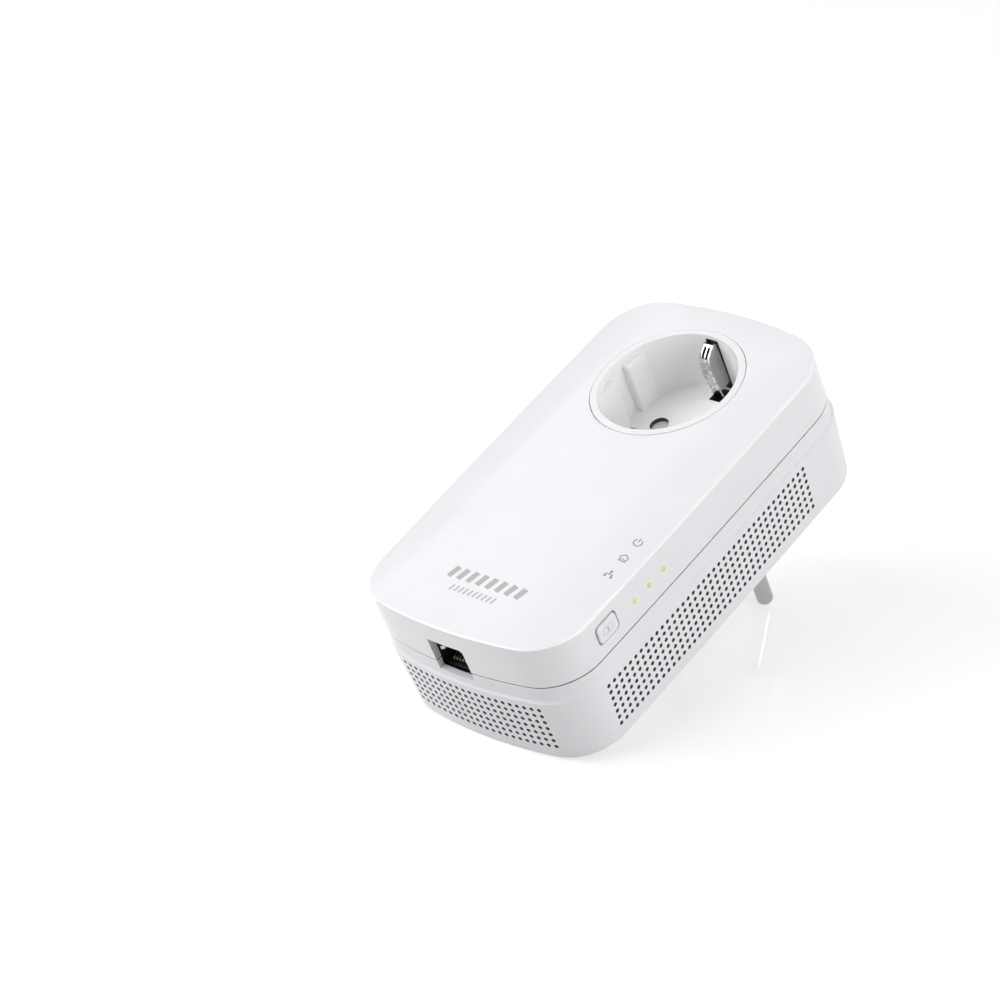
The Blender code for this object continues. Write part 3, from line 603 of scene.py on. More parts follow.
def cover_rings():
    """Rings of the cover: up its walls, over its face, down the hole and back along its inside."""
    rings = [ring_at(shrunk(blend_shape(COVER, SEAM), SEAM_TRIM), SEAM)]
    for depth in COVER_LEVELS:
        crowned = 1.0 - (depth - EDGE) / (SEAM - EDGE)
        rings.append(ring_at(blend_shape(COVER, depth), depth, crowned))
    top = blend_shape(COVER, EDGE)
    for turn in QUARTER[1:]:
        rings.append(ring_at(shrunk(top, EDGE * (1.0 - cos(turn))),
                             EDGE * (1.0 - sin(turn)), 1.0))
    rim = outline(shrunk(top, EDGE))
    hole = span("socket_insert")[1].x - RING_COLLAR + RING_GAP
    rings += face_rings(rim, hole + 0.2, SOCKET_Z, 0.0, SHARES, 1.0)
    for grow, depth in ((0.2, 0.0), (0.06, 0.06), (0.0, 0.2), (0.0, COVER_SHEET)):
        rings.append(level_ring(hole_line(hole + grow, SOCKET_Z, rim), depth, 1.0))
    rings += face_rings(outline(COVER_IN[0]), hole, SOCKET_Z, COVER_SHEET, INNER_SHARES, 1.0)
    for shape, depth, crowned in zip(COVER_IN, (COVER_SHEET, 8.0, SEAM), (1.0, 0.5, 0.0)):
        rings.append(ring_at(shape, depth, crowned))
    return rings


def make_cover():
    cover = thing("cover_shell", loft(cover_rings(), True),
                  "gloss_white", "painted_shadow_black", "painted_edge_highlight")
    button = middle("pair_button")
    half_y, half_z = (half + 0.4 for half in BUTTON_HALF)
    window = [(x, rounded(half_y + grow, half_z + grow, 1.5 + grow, (button.y, button.z)))
              for x, grow in ((30.0, 0.0), (35.42, 0.0), (36.4, 0.35))]
    tools = [stack(window, "X")]
    for led in LEDS:
        tools.append(rod(((0.7, 30.0), (0.7, 35.7), (0.85, 36.2)), "X", (led.y, led.z), 32))
    tools.append(jack_cutter())
    cut(cover, tools)
    # Painted highlight: the faces of the front edge's rounding take pure white.
    for face in cover.data.polygons:
        if face.center.y * 1000.0 < at(2.2) and -0.96 < face.normal.y < -0.12:
            face.material_index = 2
    even_normals(cover)
    piece(cover, "gloss_white", "front_cover")


def jack_cutter():
    """Opening in the lower end in front of the network jack, its outer edge broken."""
    jack = middle("jack_housing")
    half, near, far, nick = 6.2, 6.4, 17.2, 0.8
    levels = []
    for z, grow in ((-92.9, 0.0), (-96.3, 0.0), (-97.4, 0.55)):
        x_low, x_high = jack.x - half - grow, jack.x + half + grow
        y_low, y_high = at(near - grow), at(far + grow)
        levels.append((z, [(x_low, y_low), (x_high - nick, y_low), (x_high, y_low + nick),
                           (x_high, y_high), (x_low, y_high)]))
    return stack(levels, "Z")


def housing_rings():
    """Outer rings and inner rings of the housing, from its front edge round to it again."""
    outer = [ring_at(shrunk(blend_shape(HOUSING, HOUSING_FRONT), SEAM_TRIM), HOUSING_FRONT)]
    for depth in HOUSING_LEVELS + VENT_LEVELS + [38.3, 39.3]:
        outer.append(ring_at(blend_shape(HOUSING, depth), depth))
    last = blend_shape(HOUSING, HOUSING_BACK)
    for turn in QUARTER:
        outer.append(ring_at(shrunk(last, BACK_ROUND * (1.0 - cos(turn))),
                             HOUSING_BACK + BACK_ROUND * sin(turn)))
    rim = outline(shrunk(last, BACK_ROUND))
    outer += face_rings(rim, BOSS_HOLE + 0.15, 0.0, BODY_DEPTH, SHARES)
    for grow, depth in ((0.15, BODY_DEPTH), (0.0, BODY_DEPTH - 0.15), (0.0, HOUSING_FLOOR)):
        outer.append(level_ring(hole_line(BOSS_HOLE + grow, 0.0, rim), depth))
    floor = HOUSING_IN[-1][1:]
    inner = face_rings(outline(floor), BOSS_HOLE, 0.0, HOUSING_FLOOR, INNER_SHARES)
    inner.append(ring_at(floor, HOUSING_FLOOR))
    for depth in VENT_LEVELS[::-1] + [19.4, HOUSING_FRONT]:
        inner.append(ring_at(blend_shape(HOUSING_IN, depth), depth))
    return outer, inner


def vent_circle(corners):
    """Round vent in the middle of a cell with these four corners."""
    centre = sum(corners, Vector()) / 4.0
    along = (corners[1] + corners[2] - corners[0] - corners[3]).normalized()
    deep = (corners[2] + corners[3] - corners[0] - corners[1]).normalized()
    turns = [radians(225.0) + 2.0 * pi * index / VENT_SIDES
             for index in range(VENT_SIDES)]
    return [tuple(centre + (along * cos(turn) + deep * sin(turn)) * VENT_RADIUS)
            for turn in turns]


def vented_mesh(outer, inner):
    """Mesh through the rings, with a round hole through both walls in each cell of the grid."""
    rings = outer + inner
    first_out = 1 + len(HOUSING_LEVELS)
    first_in = len(outer) + len(INNER_SHARES) + 1
    points = [point for ring in rings for point in ring]
    # Faces inside the housing and round each vent take painted shade.
    faces, painted_shadow_faces = [], set()
    for level in range(len(rings)):
        here, above = level * COLUMNS, (level + 1) % len(rings) * COLUMNS
        vented = any(first <= level < first + VENT_ROWS for first in (first_out, first_in))
        for column in range(COLUMNS):
            after = (column + 1) % COLUMNS
            if vented and column in VENT_CELLS:
                continue
            if level >= len(outer):
                painted_shadow_faces.add(len(faces))
            faces.append((here + column, here + after, above + after, above + column))
    quarter = VENT_SIDES // 4
    for row in range(VENT_ROWS):
        out_level, in_level = first_out + row, first_in + VENT_ROWS - 1 - row
        for column in sorted(VENT_CELLS):
            after = (column + 1) % COLUMNS
            loops = []
            for low, high in ((out_level, out_level + 1), (in_level + 1, in_level)):
                square = (low * COLUMNS + column, low * COLUMNS + after,
                          high * COLUMNS + after, high * COLUMNS + column)
                loops.append((square, len(points)))
                points += vent_circle([Vector(points[index]) for index in square])
            for number, (square, start) in enumerate(loops):
                for side in range(4):
                    if number == 1:
                        painted_shadow_faces.add(len(faces))
                    run = [start + (side * quarter + step) % VENT_SIDES
                           for step in range(quarter, -1, -1)]
                    faces.append((square[side], square[(side + 1) % 4], *run))
            out_start, in_start = loops[0][1], loops[1][1]
            for index in range(VENT_SIDES):
                after = (index + 1) % VENT_SIDES
                painted_shadow_faces.add(len(faces))
                faces.append((out_start + index, out_start + after,
                              in_start + after, in_start + index))
    return new_mesh(points, faces, painted_shadow_faces)


def make_housing():
    housing = thing("housing_shell", vented_mesh(*housing_rings()), "satin_white", "painted_vent_shadow")
    screws = [middle("housing_screw_%d" % number) for number in SCREWS]
    join(housing, [rod(((4.0, at(15.2)), (4.0, BACK_Y - 0.5)), "Y", (spot.x, spot.z), 40)
                   for spot in screws])
    bore = ((1.7, at(14.0)), (1.7, at(33.0)), (3.0, at(33.0)), (3.0, BACK_Y - 0.25),
            (3.35, BACK_Y + 0.1), (3.35, BACK_Y + 1.0))
    tools = [rod(bore, "Y", (spot.x, spot.z), 40) for spot in screws]
    label = middle("rating_label")
    recess = rounded(20.3, 21.3, 1.8, (label.x, label.z))
    tools.append(prism(recess, "Y", BACK_Y - 0.6, BACK_Y + 1.0))
    tools.append(jack_cutter())
    cut(housing, tools)
    even_normals(housing)
    piece(housing, "gloss_white", "rear_housing")


# ---- socket ----

RIM_ROUND = 0.22
RIM_DEPTH = RIM_ROUND - 0.1
RING_MARK = (-6.7, 13.8)


def rib(side, half):
    """Half of the split rib on one side of the well, its free edges rounded."""
    root = 20.4
    plan = [(RIB_FACE, RIB_SLOT), (root, RIB_SLOT), (root, 4.5)]
    plan += arc((0.0, 0.0), root, 14.0, 27.0, 4)
    plan += [(RIB_FACE, sqrt(WELL_RADIUS ** 2 - RIB_FACE ** 2))]
    plan = [(side * x, SOCKET_Z + half * z) for x, z in plan]
    mesh = prism(plan, "Y", at(RIB_TOP), at(17.6))
    chosen = []
    for edge in mesh.edges:
        ends = [vert.co for vert in edge.verts]
        top = all(abs(end.y - at(RIB_TOP)) < 1e-4 for end in ends)
        face = all(abs(abs(end.x) - RIB_FACE) < 1e-4 for end in ends)
        slot = all(abs(abs(end.z - SOCKET_Z) - RIB_SLOT) < 1e-4 for end in ends)
        if (top and (face or slot)) or (face and slot):
            chosen.append(edge)
    bmesh.ops.bevel(mesh, geom=chosen, offset=0.75, segments=4, profile=0.5, affect="EDGES",
                    clamp_overlap=True)
    return mesh


def well_profile():
    """Half section of the socket: back, collar, ring, wall and floor."""
    collar = RING_RADIUS + RING_COLLAR
    profile = [(radius, at(depth)) for radius, depth in (
        (0.05, 19.3), (RING_RADIUS - 0.2, 19.3), (RING_RADIUS, 19.1), (RING_RADIUS, 4.8),
        (collar, 4.8), (collar, 3.3), (RING_RADIUS, 3.3), (RING_RADIUS, 0.6),
        (RING_RADIUS, RIM_DEPTH))]
    profile += round_edge((RING_RADIUS - RIM_ROUND, RIM_DEPTH), RIM_ROUND, 0.0, -90.0, 4)[1:]
    profile += [(20.5, at(-0.1))]
    profile += round_edge((WELL_RADIUS + RIM_ROUND, RIM_DEPTH), RIM_ROUND, -90.0, -180.0, 4)
    profile += [(WELL_RADIUS, at(depth)) for depth in (0.6, 2.0, 5.0, 8.0, 11.0, 14.0, 16.6)]
    profile += round_edge((WELL_RADIUS - 0.4, WELL_FLOOR - 0.4), 0.4, 0.0, 90.0, 5)
    floor = (17.0, 14.0, 11.0, 8.0, 5.0, 2.0, 0.05)
    return profile + [(radius, at(WELL_FLOOR)) for radius in floor]


def slab(side, near, far, front, back):
    """Block as wide as a clip's channel, between two distances from the socket's centre."""
    low, high = sorted((SOCKET_Z + side * near, SOCKET_Z + side * far))
    return box((-CHANNEL, at(front), low), (CHANNEL, at(back), high))


def make_socket():
    well = thing("socket_well", rod(well_profile(), "Y", (0.0, SOCKET_Z), 128),
                 "lightened_white_painted_light", "painted_shadow_black", "gloss_white")
    join(well, [rib(side, half) for side in (-1.0, 1.0) for half in (-1.0, 1.0)])
    channels, openings = [], []
    for side in (-1.0, 1.0):
        # The clips' channels, the openings behind the floor and the pin holes take painted shadow.
        channels.append(dark(slab(side, 14.4, CHANNEL_REACH, 0.6, WELL_FLOOR)))
        openings.append(dark(slab(side, 13.2, 18.2, 16.8, 21.0)))
        openings.append(dark(rod(((PIN_HOLE, at(17.0)), (PIN_HOLE, at(21.0))), "Y",
                                 (side * PIN_X, SOCKET_Z), 40)))
    cut(well, channels)
    cut(well, openings)
    groove = ((2.3, at(17.0)), (2.3, at(17.38)), (2.1, at(17.38)), (2.1, at(17.0)))
    cut(well, [rod(groove, "Y", (RING_MARK[0], SOCKET_Z + RING_MARK[1]), wrap=True)])
    for vertex in well.data.vertices:
        x, y, z = vertex.co * 1000.0
        if y < at(0.3):
            vertex.co.y += face_depth(x, z) * 0.001
    for face in well.data.polygons:
        spot = face.center * 1000.0
        if spot.y < at(1.0) and hypot(spot.x, spot.z - SOCKET_Z) > WELL_RADIUS + 0.1:
            face.material_index = 2
    even_normals(well)
    piece(well, "gloss_white", "socket_insert")


# The clip's bent line and its folded side, as (distance from the socket's centre, depth).
CLIP_HALF = 1.75
CLIP_SPOTS = ((18.15, 0.95), (18.0, 1.15), (17.4, 1.65), (16.6, 2.25), (15.6, 3.05), (14.9, 3.95),
              (14.45, 4.9), (14.15, 6.0), (14.12, 7.2), (14.25, 8.6), (14.5, 10.8), (14.85, 13.5),
              (15.15, 16.0), (15.35, 18.0), (15.45, 22.0), (15.5, 26.0))
CLIP_FLANGE = ((18.0, 0.9), (18.6, 0.9), (18.8, 1.2), (19.1, 5.5), (19.2, 13.9), (18.9, 14.4),
               (18.2, 14.75), (15.2, 14.8), (14.65, 11.4), (14.35, 8.4), (14.3, 7.0), (14.35, 6.0),
               (14.75, 4.6), (15.3, 3.6))


def make_clip(which, side):
    """Sprung earth clip: a strip folded back along both sides, slotted at its free end."""
    path = smooth_path([(at(depth), SOCKET_Z + side * out) for out, depth in CLIP_SPOTS], 3)
    clip = thing("clip_" + which, strip(path, 0.6, -CLIP_HALF, CLIP_HALF, 0.2),
                 "clip_steel_painted_glints", "flange_steel_painted_shade", "painted_shadow_black")
    flange = [(at(depth), SOCKET_Z + side * out) for out, depth in CLIP_FLANGE]
    # The folded sides take the darker steel, a painted shade.
    join(clip, [dark(prism(flange, "X", low, low + 0.4))
                for low in (-CLIP_HALF + 0.02, CLIP_HALF - 0.42)])
    low, high = sorted((SOCKET_Z + side * 14.8, SOCKET_Z + side * 20.0))
    # The walls of the slots take painted shadow.
    cut(clip, [dark(prism(rounded(0.40, 1.2, 0.34, (x, at(2.5)), 3), "Z", low, high), 2)
               for x in (-0.64, 0.64)])
    even_normals(clip)
    piece(clip, "bright_steel", "earth_clip_" + which, body=which + "_clip")


# ---- plug side ----

def boss_plan(grow):
    """Section of the plug's body: flat sides with keys, and a seat for each earth strip."""
    radius, flat_x, key, seat_half, seat_z = 18.25 + grow, 16.3 + grow, 2.3, 3.6, 14.9 + grow
    flat_turn = atan2(sqrt(radius ** 2 - flat_x ** 2), flat_x)
    quarter = [(radius, 0.0), (sqrt(radius ** 2 - key ** 2), key), (flat_x, key)]
    quarter += [polar(radius, turn) for turn in spread(flat_turn, acos(seat_half / radius), 24)]
    quarter.append((seat_half, seat_z))
    upper = quarter + [(-x, z) for x, z in quarter[::-1]]
    return upper + [(x, -z) for x, z in upper[-2:0:-1]]


def make_boss():
    root = ((21.0, at(36.6)), (21.0, at(37.9)), (18.6, at(37.9)), (18.6, BACK_Y + 0.75),
            (18.35, BACK_Y + 1.0))
    boss = thing("plug_boss", rod(root, "Y", (0.0, 0.0), 128), "lightened_white_painted_light")
    join(boss, [stack([(along, boss_plan(grow)) for along, grow in (
        (BACK_Y + 0.3, 0.0), (-0.8, 0.0), (-0.55, -0.03), (-0.3, -0.14), (-0.1, -0.34),
        (0.0, -0.6))], "Y")])
    tools = []
    for node_name in ("plug_pin_line", "plug_pin_neutral"):
        pin = middle(node_name)
        tools.append(rod(((PIN_HOLE, -24.0), (PIN_HOLE, -0.3), (3.0, 0.05), (3.0, 2.0)), "Y",
                         (pin.x, pin.z), 40))
    for side in (-1.0, 1.0):
        low, high = sorted((side * 14.9, side * 17.2))
        tools.append(box((-3.2, -24.0, low), (3.2, BACK_Y + 2.0, high)))
    cut(boss, tools)
    even_normals(boss)
    piece(boss, "gloss_white", "plug_body")


def make_pin(side):
    node_name = "plug_pin_" + side
    pin = middle(node_name)
    tip = span(node_name)[1].y
    profile = [(PIN_RADIUS, along) for along in (at(36.9), -2.0, 6.0, 12.0)]
    profile += arc((0.0, tip - PIN_RADIUS), PIN_RADIUS, 0.0, 88.0, 12)
    made = thing("pin_" + side, rod(profile, "Y", (pin.x, pin.z), 64), "pin_steel")
    piece(made, "bright_steel", node_name)


def make_earth_strip(which, side):
    spots = ((-20.9, 15.9), (-15.0, 15.9), (-12.5, 16.2), (-10.0, 16.5), (-7.0, 16.62),
             (-4.0, 16.5), (-2.4, 16.2), (-1.6, 15.85), (-1.0, 15.4))
    path = smooth_path([(along, side * out) for along, out in spots], 5)
    made = thing("earth_strip_" + which, strip(path, 0.8, -2.8, 2.8, 0.25), "pin_steel")
    piece(made, "bright_steel", "plug_earth_strip_" + which)


def make_screw(number):
    node_name = "housing_screw_%d" % number
    spot = middle(node_name)
    seat, head, slot, reach = 33.3, 34.5, 0.28, 1.3
    profile = [(radius, at(depth)) for radius, depth in (
        (1.4, 7.0), (1.4, seat), (2.6, seat), (2.6, head), (2.52, 34.85), (2.25, 35.1),
        (1.8, 35.24), (1.0, 35.3))]
    screw = thing("screw_%d" % number, rod(profile, "Y", (spot.x, spot.z), 40), "shield_steel")
    for half_x, half_z in ((reach, slot), (slot, reach)):
        cut(screw, [box((spot.x - half_x, at(head), spot.z - half_z),
                        (spot.x + half_x, at(36.0), spot.z + half_z))])
    piece(screw, "bright_steel", node_name)


# ---- network jack ----

# The opening's section, as (distance from the jack's middle, depth).
JACK_PLAN = ((-5.9, 16.8), (5.9, 16.8), (5.9, 9.3), (3.1, 9.3), (3.1, 7.2), (-3.1, 7.2),
             (-3.1, 9.3), (-5.9, 9.3))
# A contact's line, as (depth, distance from the jack's mouth).
CONTACT_SPOTS = ((16.35, 2.2), (16.3, 1.5), (16.1, 1.1), (15.8, 1.05), (15.5, 1.6), (14.3, 4.8),
                 (12.7, 8.0), (11.4, 10.0), (11.0, 11.0))
# The shield's finger, as distances from the jack's mouth and from its left side.
FINGER_SPOTS = ((0.06, 2.05), (0.5, 2.75), (2.0, 3.4), (5.0, 4.2), (8.5, 3.6))
FINGER_DEPTH, FINGER_HALF, FINGER_SHEET = 11.9, 0.55, 0.1


def jack_section(centre_x, grow):
    return [(centre_x + off + copysign(grow, off),
             at(depth + (grow if depth > 12.0 else -grow))) for off, depth in JACK_PLAN]


def make_jack_shell():
    jack = middle("jack_housing")
    low, high = span("jack_housing")
    shell = thing("jack_shell", box(low, high), "black_plastic")
    levels = ((low.z - 0.6, 0.5), (low.z + 0.35, 0.0), (low.z + 12.5, 0.0))
    cut(shell, [stack([(z, jack_section(jack.x, grow)) for z, grow in levels], "Z")])
    combs = []
    for index in range(9):
        x = jack.x + CONTACT_PITCH * (index - 4.0)
        combs.append(box((x - 0.16, at(16.3), low.z + 1.9), (x + 0.16, at(17.2), low.z + 9.0)))
    join(shell, combs)
    even_normals(shell)
    piece(shell, "black_plastic", "jack_housing")


def make_jack_shield():
    low, high = span("jack_housing")
    shield = thing("jack_case", box(*span("jack_shield")), "shield_steel")
    cut(shield, [box((low.x - GAP, low.y - GAP, low.z - 1.0),
                     (high.x + GAP, high.y + 2.0, high.z + GAP))])
    piece(shield, "bright_steel", "jack_shield")

    path = smooth_path([(low.z + up, low.x + out) for up, out in FINGER_SPOTS], 4)
    finger = sweep(path, [(at(FINGER_DEPTH) + wide * FINGER_HALF, thick * FINGER_SHEET)
                          for wide, thick in ((-1.0, -1.0), (-1.0, 1.0), (1.0, 1.0), (1.0, -1.0))])
    for vertex in finger.verts:
        vertex.co = vertex.co.zxy
    piece(thing("shield_finger", finger, "shield_steel"), "bright_steel")


def make_jack_contact(number):
    node_name = "jack_contact_%d" % number
    x, mouth = middle(node_name).x, span("jack_housing")[0].z
    path = smooth_path([(at(depth), mouth + up) for depth, up in CONTACT_SPOTS], 4)
    made = thing("contact_%d" % number, strip(path, 0.24, x - 0.14, x + 0.14, 0.1), "contact_gold")
    piece(made, "contact_gold", node_name, body="wire_%d" % number)


# ---- controls ----

CAP_ROUND, SYMBOL_LINE, LENS_RADIUS = 0.45, 0.3, 0.62


def make_button():
    button = middle("pair_button")
    face = span("pair_button")[1].x
    centre = (button.y, button.z)
    half_y, half_z = BUTTON_HALF
    levels = [(33.1, 0.0), (face - CAP_ROUND, 0.0)]
    levels += [(face - CAP_ROUND + CAP_ROUND * sin(turn), CAP_ROUND * (1.0 - cos(turn)))
               for turn in QUARTER[1:]]
    plans = [(x, rounded(half_y - trim, half_z - trim, max(1.25 - trim, 0.3), centre, 8))
             for x, trim in levels]
    plans.append((face, rounded(half_y - 1.2, half_z - 1.2, 0.3, centre, 8)))
    cap = thing("button_cap", stack(plans, "X"), "button_white")
    join(cap, [prism(rounded(3.85, 4.85, 1.6, centre, 8), "X", 32.4, 33.15)])
    even_normals(cap)
    piece(cap, "button_white", "pair_button", body="button")
    low, high, half = face - 0.02, face + 0.015, SYMBOL_LINE / 2.0
    section = ((low, -half), (low, half), (high, half), (high, -half))
    marks = [sweep(circle(1.05, 28, (button.y, button.z + lean)), section, True)
             for lean in (-0.95, 0.95)]
    piece(thing("button_symbol", together(marks), "print_pale"), "button_white", body="button")


def make_light_pipe():
    """Light guide: each lens is a pale disc with a greener ring sunk round its centre."""
    low, high = span("light_pipe")
    pipe = thing("light_guide", box(low, (31.4, high.y, high.z)), "lens_glow", "lens_ring")
    rods, grooves = [], []
    face = high.x - 0.05
    for led in LEDS:
        spot = (led.y, led.z)
        rods.append(rod(((LENS_RADIUS, 31.0), (LENS_RADIUS, face - 0.1), (0.58, face - 0.03),
                         (0.50, face)), "X", spot, 40))
        grooves.append(dark(rod(((0.49, face + 0.1), (0.47, face - 0.07), (0.29, face - 0.07),
                                 (0.27, face + 0.1)), "X", spot, 40, True)))
    join(pipe, rods)
    cut(pipe, grooves)
    piece(pipe, "clear_lens", "light_pipe")


# ---- printed marks ----

PRINT_LIFT, PRINT_SUNK = 0.02, 0.05
ICON_X, POWER_SIZE, ICON_SIZE = 30.55, 0.88, 0.8
ICON_LINE, FINE_LINE = 0.3, 0.26


def printed(line, width):
    """Printed stroke on the crowned front face; the line is in X and Z."""
    rings = []
    for before, here, after in with_neighbours(line):
        into = across(before, here) if before != here else across(here, after)
        out = across(here, after) if after != here else into
        normal = (into + out).normalized()
        normal *= width / 2.0 / max(0.5, normal.dot(into))
        left, right = here + normal, here - normal
        rings.append([(x, at(face_depth(x, z)) + lift, z) for (x, z), lift in (
            (left, -PRINT_LIFT), (right, -PRINT_LIFT), (right, PRINT_SUNK), (left, PRINT_SUNK))])
    return loft(rings)


def dense(line, step):
    """The same line with points at most about one step apart."""
    made = []
    for first, second in zip(line, line[1:]):
        first, second = Vector(first), Vector(second)
        count = max(1, int((second - first).length / step))
        made += [first + (second - first) * index / count for index in range(count)]
    return made + [Vector(line[-1])]


def icon_line(line, centre, width, size=ICON_SIZE):
    spots = [(ICON_X + out * size, centre + up * size) for out, up in line]
    return printed(dense(spots, 0.5), width)


def print_piece(name, strokes, finish="print_grey"):
    slot = "label_paper" if name.startswith("label") else "light_grey"
    piece(thing(name, together(strokes), finish), slot)


def make_icons():
    power, house, network = SOCKET_Z - 52.9, SOCKET_Z - 58.9, SOCKET_Z - 64.9
    print_piece("icon_power", [
        printed(arc((ICON_X, power), 1.3 * POWER_SIZE, 125.0, 415.0, 36), ICON_LINE),
        icon_line([(0.0, 0.2), (0.0, 1.7)], power, ICON_LINE, POWER_SIZE)])
    print_piece("icon_home", [
        icon_line([(-1.75, 0.1), (0.0, 1.5), (1.75, 0.1)], house, ICON_LINE),
        icon_line([(-1.15, -0.15), (-1.15, -1.3), (1.15, -1.3), (1.15, -0.15)], house, ICON_LINE),
        printed(arc((ICON_X, house - 0.95), 0.6, 20.0, 160.0, 10), 0.24)])
    strokes = [icon_line([(0.0, 0.6), (0.0, -0.1)], network, FINE_LINE),
               icon_line([(-1.15, -0.75), (-1.15, -0.2), (1.15, -0.2), (1.15, -0.75)], network,
                         FINE_LINE)]
    for out, up in ((0.0, 1.0), (-1.15, -1.15), (1.15, -1.15)):
        strokes.append(icon_line([(out - 0.4, up), (out + 0.4, up)], network, 0.7))
    print_piece("icon_network", strokes)


def make_badge():
    """Generic graphic in the place of the printed badge: slanted bars over thinner ticks."""
    bars = [-9.6 + 3.3 * index for index in range(8)]
    print_piece("badge_bars", [printed(dense([(x - 0.5, -80.5), (x + 0.5, -76.8)], 1.0), 1.8)
                               for x in bars], "print_badge")
    ticks = [-6.4 + 1.6 * index for index in range(10)]
    print_piece("badge_ticks", [printed([(x - 0.3, -84.4), (x + 0.3, -82.4)], 0.55)
                                for x in ticks], "print_badge")


def make_label():
    low, high = span("rating_label")
    label = middle("rating_label")
    levels = ((low.y, 0.0), (high.y - 0.05, 0.0), (high.y, 0.05))
    plate = stack([(along, rounded(19.9 - trim, 20.9 - trim, 1.5, (label.x, label.z), 8))
                   for along, trim in levels], "Y")
    piece(thing("label_plate", plate, "label_paper"), "label_paper", "rating_label")
    below, above = high.y - 0.04, high.y + 0.02
    left = -16.5
    rules = []
    for index, reach in enumerate((30.0, 24.0, 33.0, 28.0, 18.0)):
        z = label.z + 15.0 - 3.4 * index
        rules.append(box((left, below, z), (left + reach, above, z + 0.9)))
    centre = (label.x, label.z - 10.0)
    outer, inner = rounded(16.5, 7.0, 1.0, centre), rounded(16.2, 6.7, 0.8, centre)
    rules.append(stack(((below, outer), (above, outer), (above, inner), (below, inner)), "Y", True))
    print_piece("label_rules", rules)


# ---- internal nodes ----

NODE_FINISHES = {
    "light_grey": ("contact_carrier",),
    "shutter_white": ("socket_shutter",),
    "bright_steel": ("shutter_spring", "switch_plunger"),
    "contact_brass": ("socket_contact_line", "socket_contact_neutral", "busbar_line",
                      "busbar_neutral", "earth_bridge"),
    "board_green": ("main_board", "side_board"),
    "black_plastic": ("powerline_chip", "ethernet_chip", "network_transformer",
                      "coupling_transformer", "supply_transformer", "tact_switch"),
    "sink_aluminium": ("heat_sink",),
    "shield_steel": ("crystal",),
    "sleeve_blue": ("bulk_capacitor", "surge_varistor"),
    "moulded_cream": ("suppression_capacitor", "input_fuse"),
    "winding_copper": ("noise_choke",),
    "led_body": ("status_led_1", "status_led_2", "status_led_3"),
}


def dress_nodes():
    finishes = {name: finish for finish, names in NODE_FINISHES.items() for name in names}
    for name, made in NODES.items():
        finish = FINISH[finishes.get(name, "satin_white")]
        if not made.material_slots:
            made.data.materials.append(finish)
        for slot in made.material_slots:
            slot.material = finish


# ---- stage ----

FLOOR_SIZE, FLOOR_DROP = 6000.0, 0.25
FLOOR_GLOW = (0.05, 0.56)
TARGET = Vector((0.0, -0.04, -0.03))
# Each lamp: direction, distance, size and power.
LAMPS = {
    "front": ((-0.3, -0.93, -0.2), 1.3, 1.0, 3.9),
    "key": ((-0.64, -0.75, -0.15), 1.3, 0.6, 4.9),
    "sheen": ((-0.64, -0.614, 0.461), 1.5, 0.6, 0.9),
    "right": ((0.97, 0.1, 0.2), 1.3, 0.9, 5.8),
    "right_front": ((0.9, -0.4, 0.1), 1.3, 0.9, 5.8),
    "low_left": ((-0.46, -0.6, -0.65), 1.3, 0.8, 5.3),
    "edge": ((0.0, -0.89, 0.46), 1.3, 0.3, 0.5),
}
# Each side of the surroundings: where it lies and how bright it gets.
WORLD = (((0.0, 0.0, 1.0), 0.56), ((-1.0, 0.0, 0.0), 0.02))
CAMERA_TURN = ((0.73189023, -0.23322177, 0.64026892),
               (0.30560116, -0.72747497, -0.61431922),
               (0.60905223, 0.64528116, -0.46115899))
CAMERA_PLACE = (0.59344177, -0.64253285, -0.49089362)


def make_stage():
    """Floor that touches the lower back edge and the tips of the pins, as in the photograph."""
    edge = Vector((0.0, BACK_Y - 0.35, span("rear_housing")[0].z + 1.15))
    tip = Vector((0.0, span("plug_pin_line")[1].y - 0.7, -1.2))
    along = (tip - edge).normalized()
    up = Vector((0.0, -along.z, along.y))
    corners = [edge + along * second * FLOOR_SIZE - up * FLOOR_DROP
               + Vector((first * FLOOR_SIZE, 0.0, 0.0))
               for first, second in ((-1, -1), (1, -1), (1, 1), (-1, 1))]
    mesh = bmesh.new()
    face = mesh.faces.new([mesh.verts.new(corner) for corner in corners])
    mesh.normal_update()
    if face.normal.dot(up) < 0:
        bmesh.ops.reverse_faces(mesh, faces=[face])
    floor_material()
    floor = thing("floor", mesh, "floor")
    floor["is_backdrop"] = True


def switched(tree, factor, first, second, output):
    """The second shader where the factor is 1, the first elsewhere, into the tree's output."""
    switch = node(tree, "MixShader")
    for socket, value in zip(switch.inputs, (factor, first.outputs[0], second.outputs[0])):
        tree.links.new(value, socket)
    fill(tree, tree.nodes[output], Surface=switch.outputs[0])


def floor_material():
    """Pale mirroring floor, clear from below. It glows for the pieces less than for the camera."""
    tree, shader = new_material("floor")
    spot = node(tree, "TexCoord").outputs["Object"]
    base = mottled(tree, spot, 3.0, (0.54, 0.54, 0.54), (0.56, 0.56, 0.56))
    scattered = node(tree, "LightPath").outputs["Is Diffuse Ray"]
    fill(tree, shader, Base_Color=base, Roughness=0.05, IOR=1.42, Emission_Color=(1.0, 1.0, 1.0),
         Emission_Strength=remap(tree, scattered, 1.0, 0.0, *FLOOR_GLOW))
    back = node(tree, "NewGeometry").outputs["Backfacing"]
    switched(tree, back, shader, node(tree, "BsdfTransparent"), "Material Output")


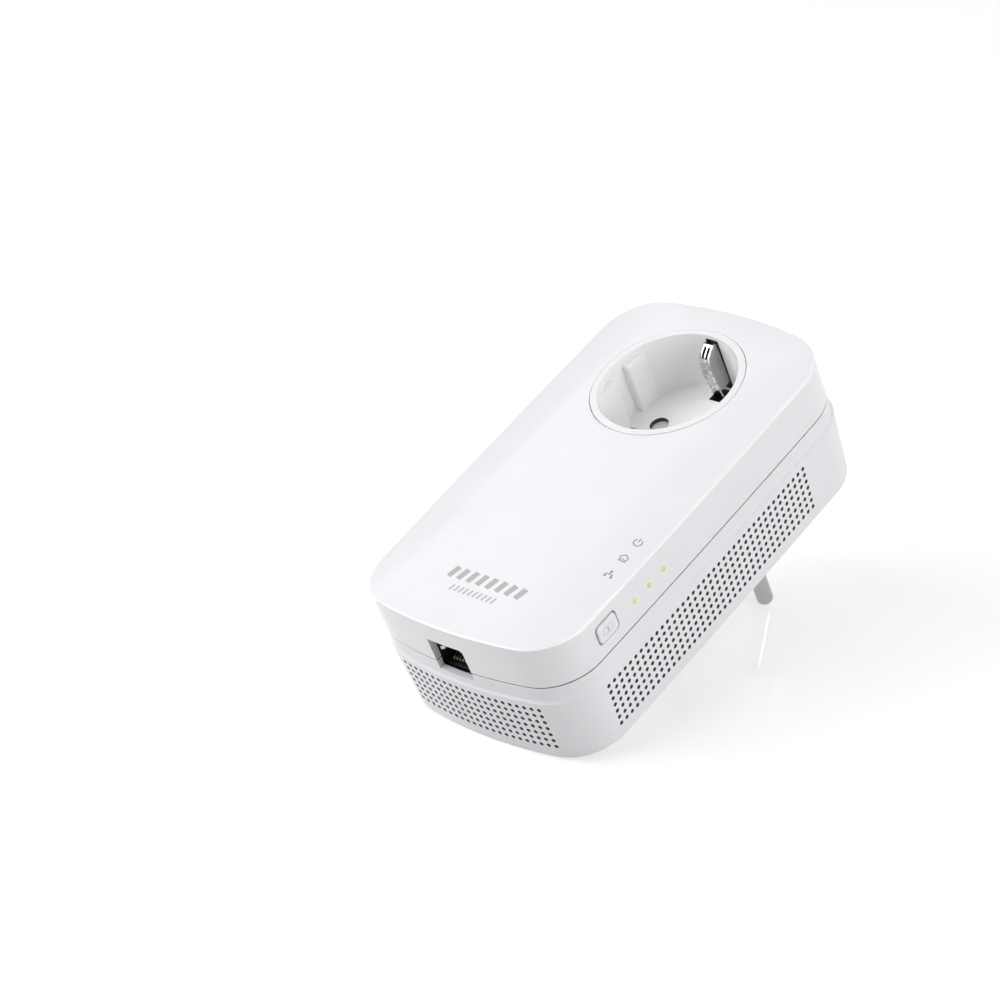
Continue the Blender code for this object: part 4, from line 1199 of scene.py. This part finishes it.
def make_lights():
    for name, (direction, distance, size, power) in LAMPS.items():
        data = bpy.data.lights.new(name, "AREA")
        data.shape = "RECTANGLE"
        data.size = data.size_y = size
        data.energy = power
        lamp = link(name, data)
        lamp.location = TARGET + Vector(direction).normalized() * distance
        lamp.rotation_mode = "QUATERNION"
        lamp.rotation_quaternion = (TARGET - lamp.location).to_track_quat("-Z", "Y")


def make_world():
    """Soft surroundings that light the pieces, and plain white for the camera."""
    world = bpy.data.worlds.new("studio")
    SCENE.world = world
    world.use_nodes = True
    tree = world.node_tree
    background = tree.nodes["Background"]
    direction = node(tree, "TexCoord").outputs["Generated"]
    added = node(tree, "Math", operation="ADD")
    for socket, (axis, power) in zip(added.inputs, WORLD):
        facing = node(tree, "VectorMath", operation="DOT_PRODUCT", Vector=direction)
        facing.inputs[1].default_value = axis
        tree.links.new(remap(tree, facing.outputs["Value"], -1.0, 1.0, 0.0, power), socket)
    fill(tree, background, Color=(1.0, 1.0, 1.0), Strength=added.outputs["Value"])
    plain = node(tree, "Background", Color=(1.0, 1.0, 1.0), Strength=1.0)
    seen = node(tree, "LightPath").outputs["Is Camera Ray"]
    switched(tree, seen, background, plain, "World Output")


def make_camera():
    data = bpy.data.cameras.new("camera")
    data.sensor_width = 36.0
    data.lens = 131.046
    data.clip_start, data.clip_end = 0.02, 50.0
    camera = link("camera", data)
    camera.matrix_world = Matrix.Translation(CAMERA_PLACE) @ Matrix(CAMERA_TURN).to_4x4()
    SCENE.camera = camera


dress_nodes()
make_cover()
make_housing()
make_socket()
make_clip("upper", 1.0)
make_clip("lower", -1.0)
make_boss()
make_pin("line")
make_pin("neutral")
make_earth_strip("upper", 1.0)
make_earth_strip("lower", -1.0)
for screw_number in SCREWS:
    make_screw(screw_number)
make_jack_shell()
make_jack_shield()
for contact_number in CONTACTS:
    make_jack_contact(contact_number)
make_button()
make_light_pipe()
make_icons()
make_badge()
make_label()
make_stage()
make_lights()
make_world()
make_camera()
view = SCENE.view_settings
view.view_transform = "Standard"
view.look = "None"
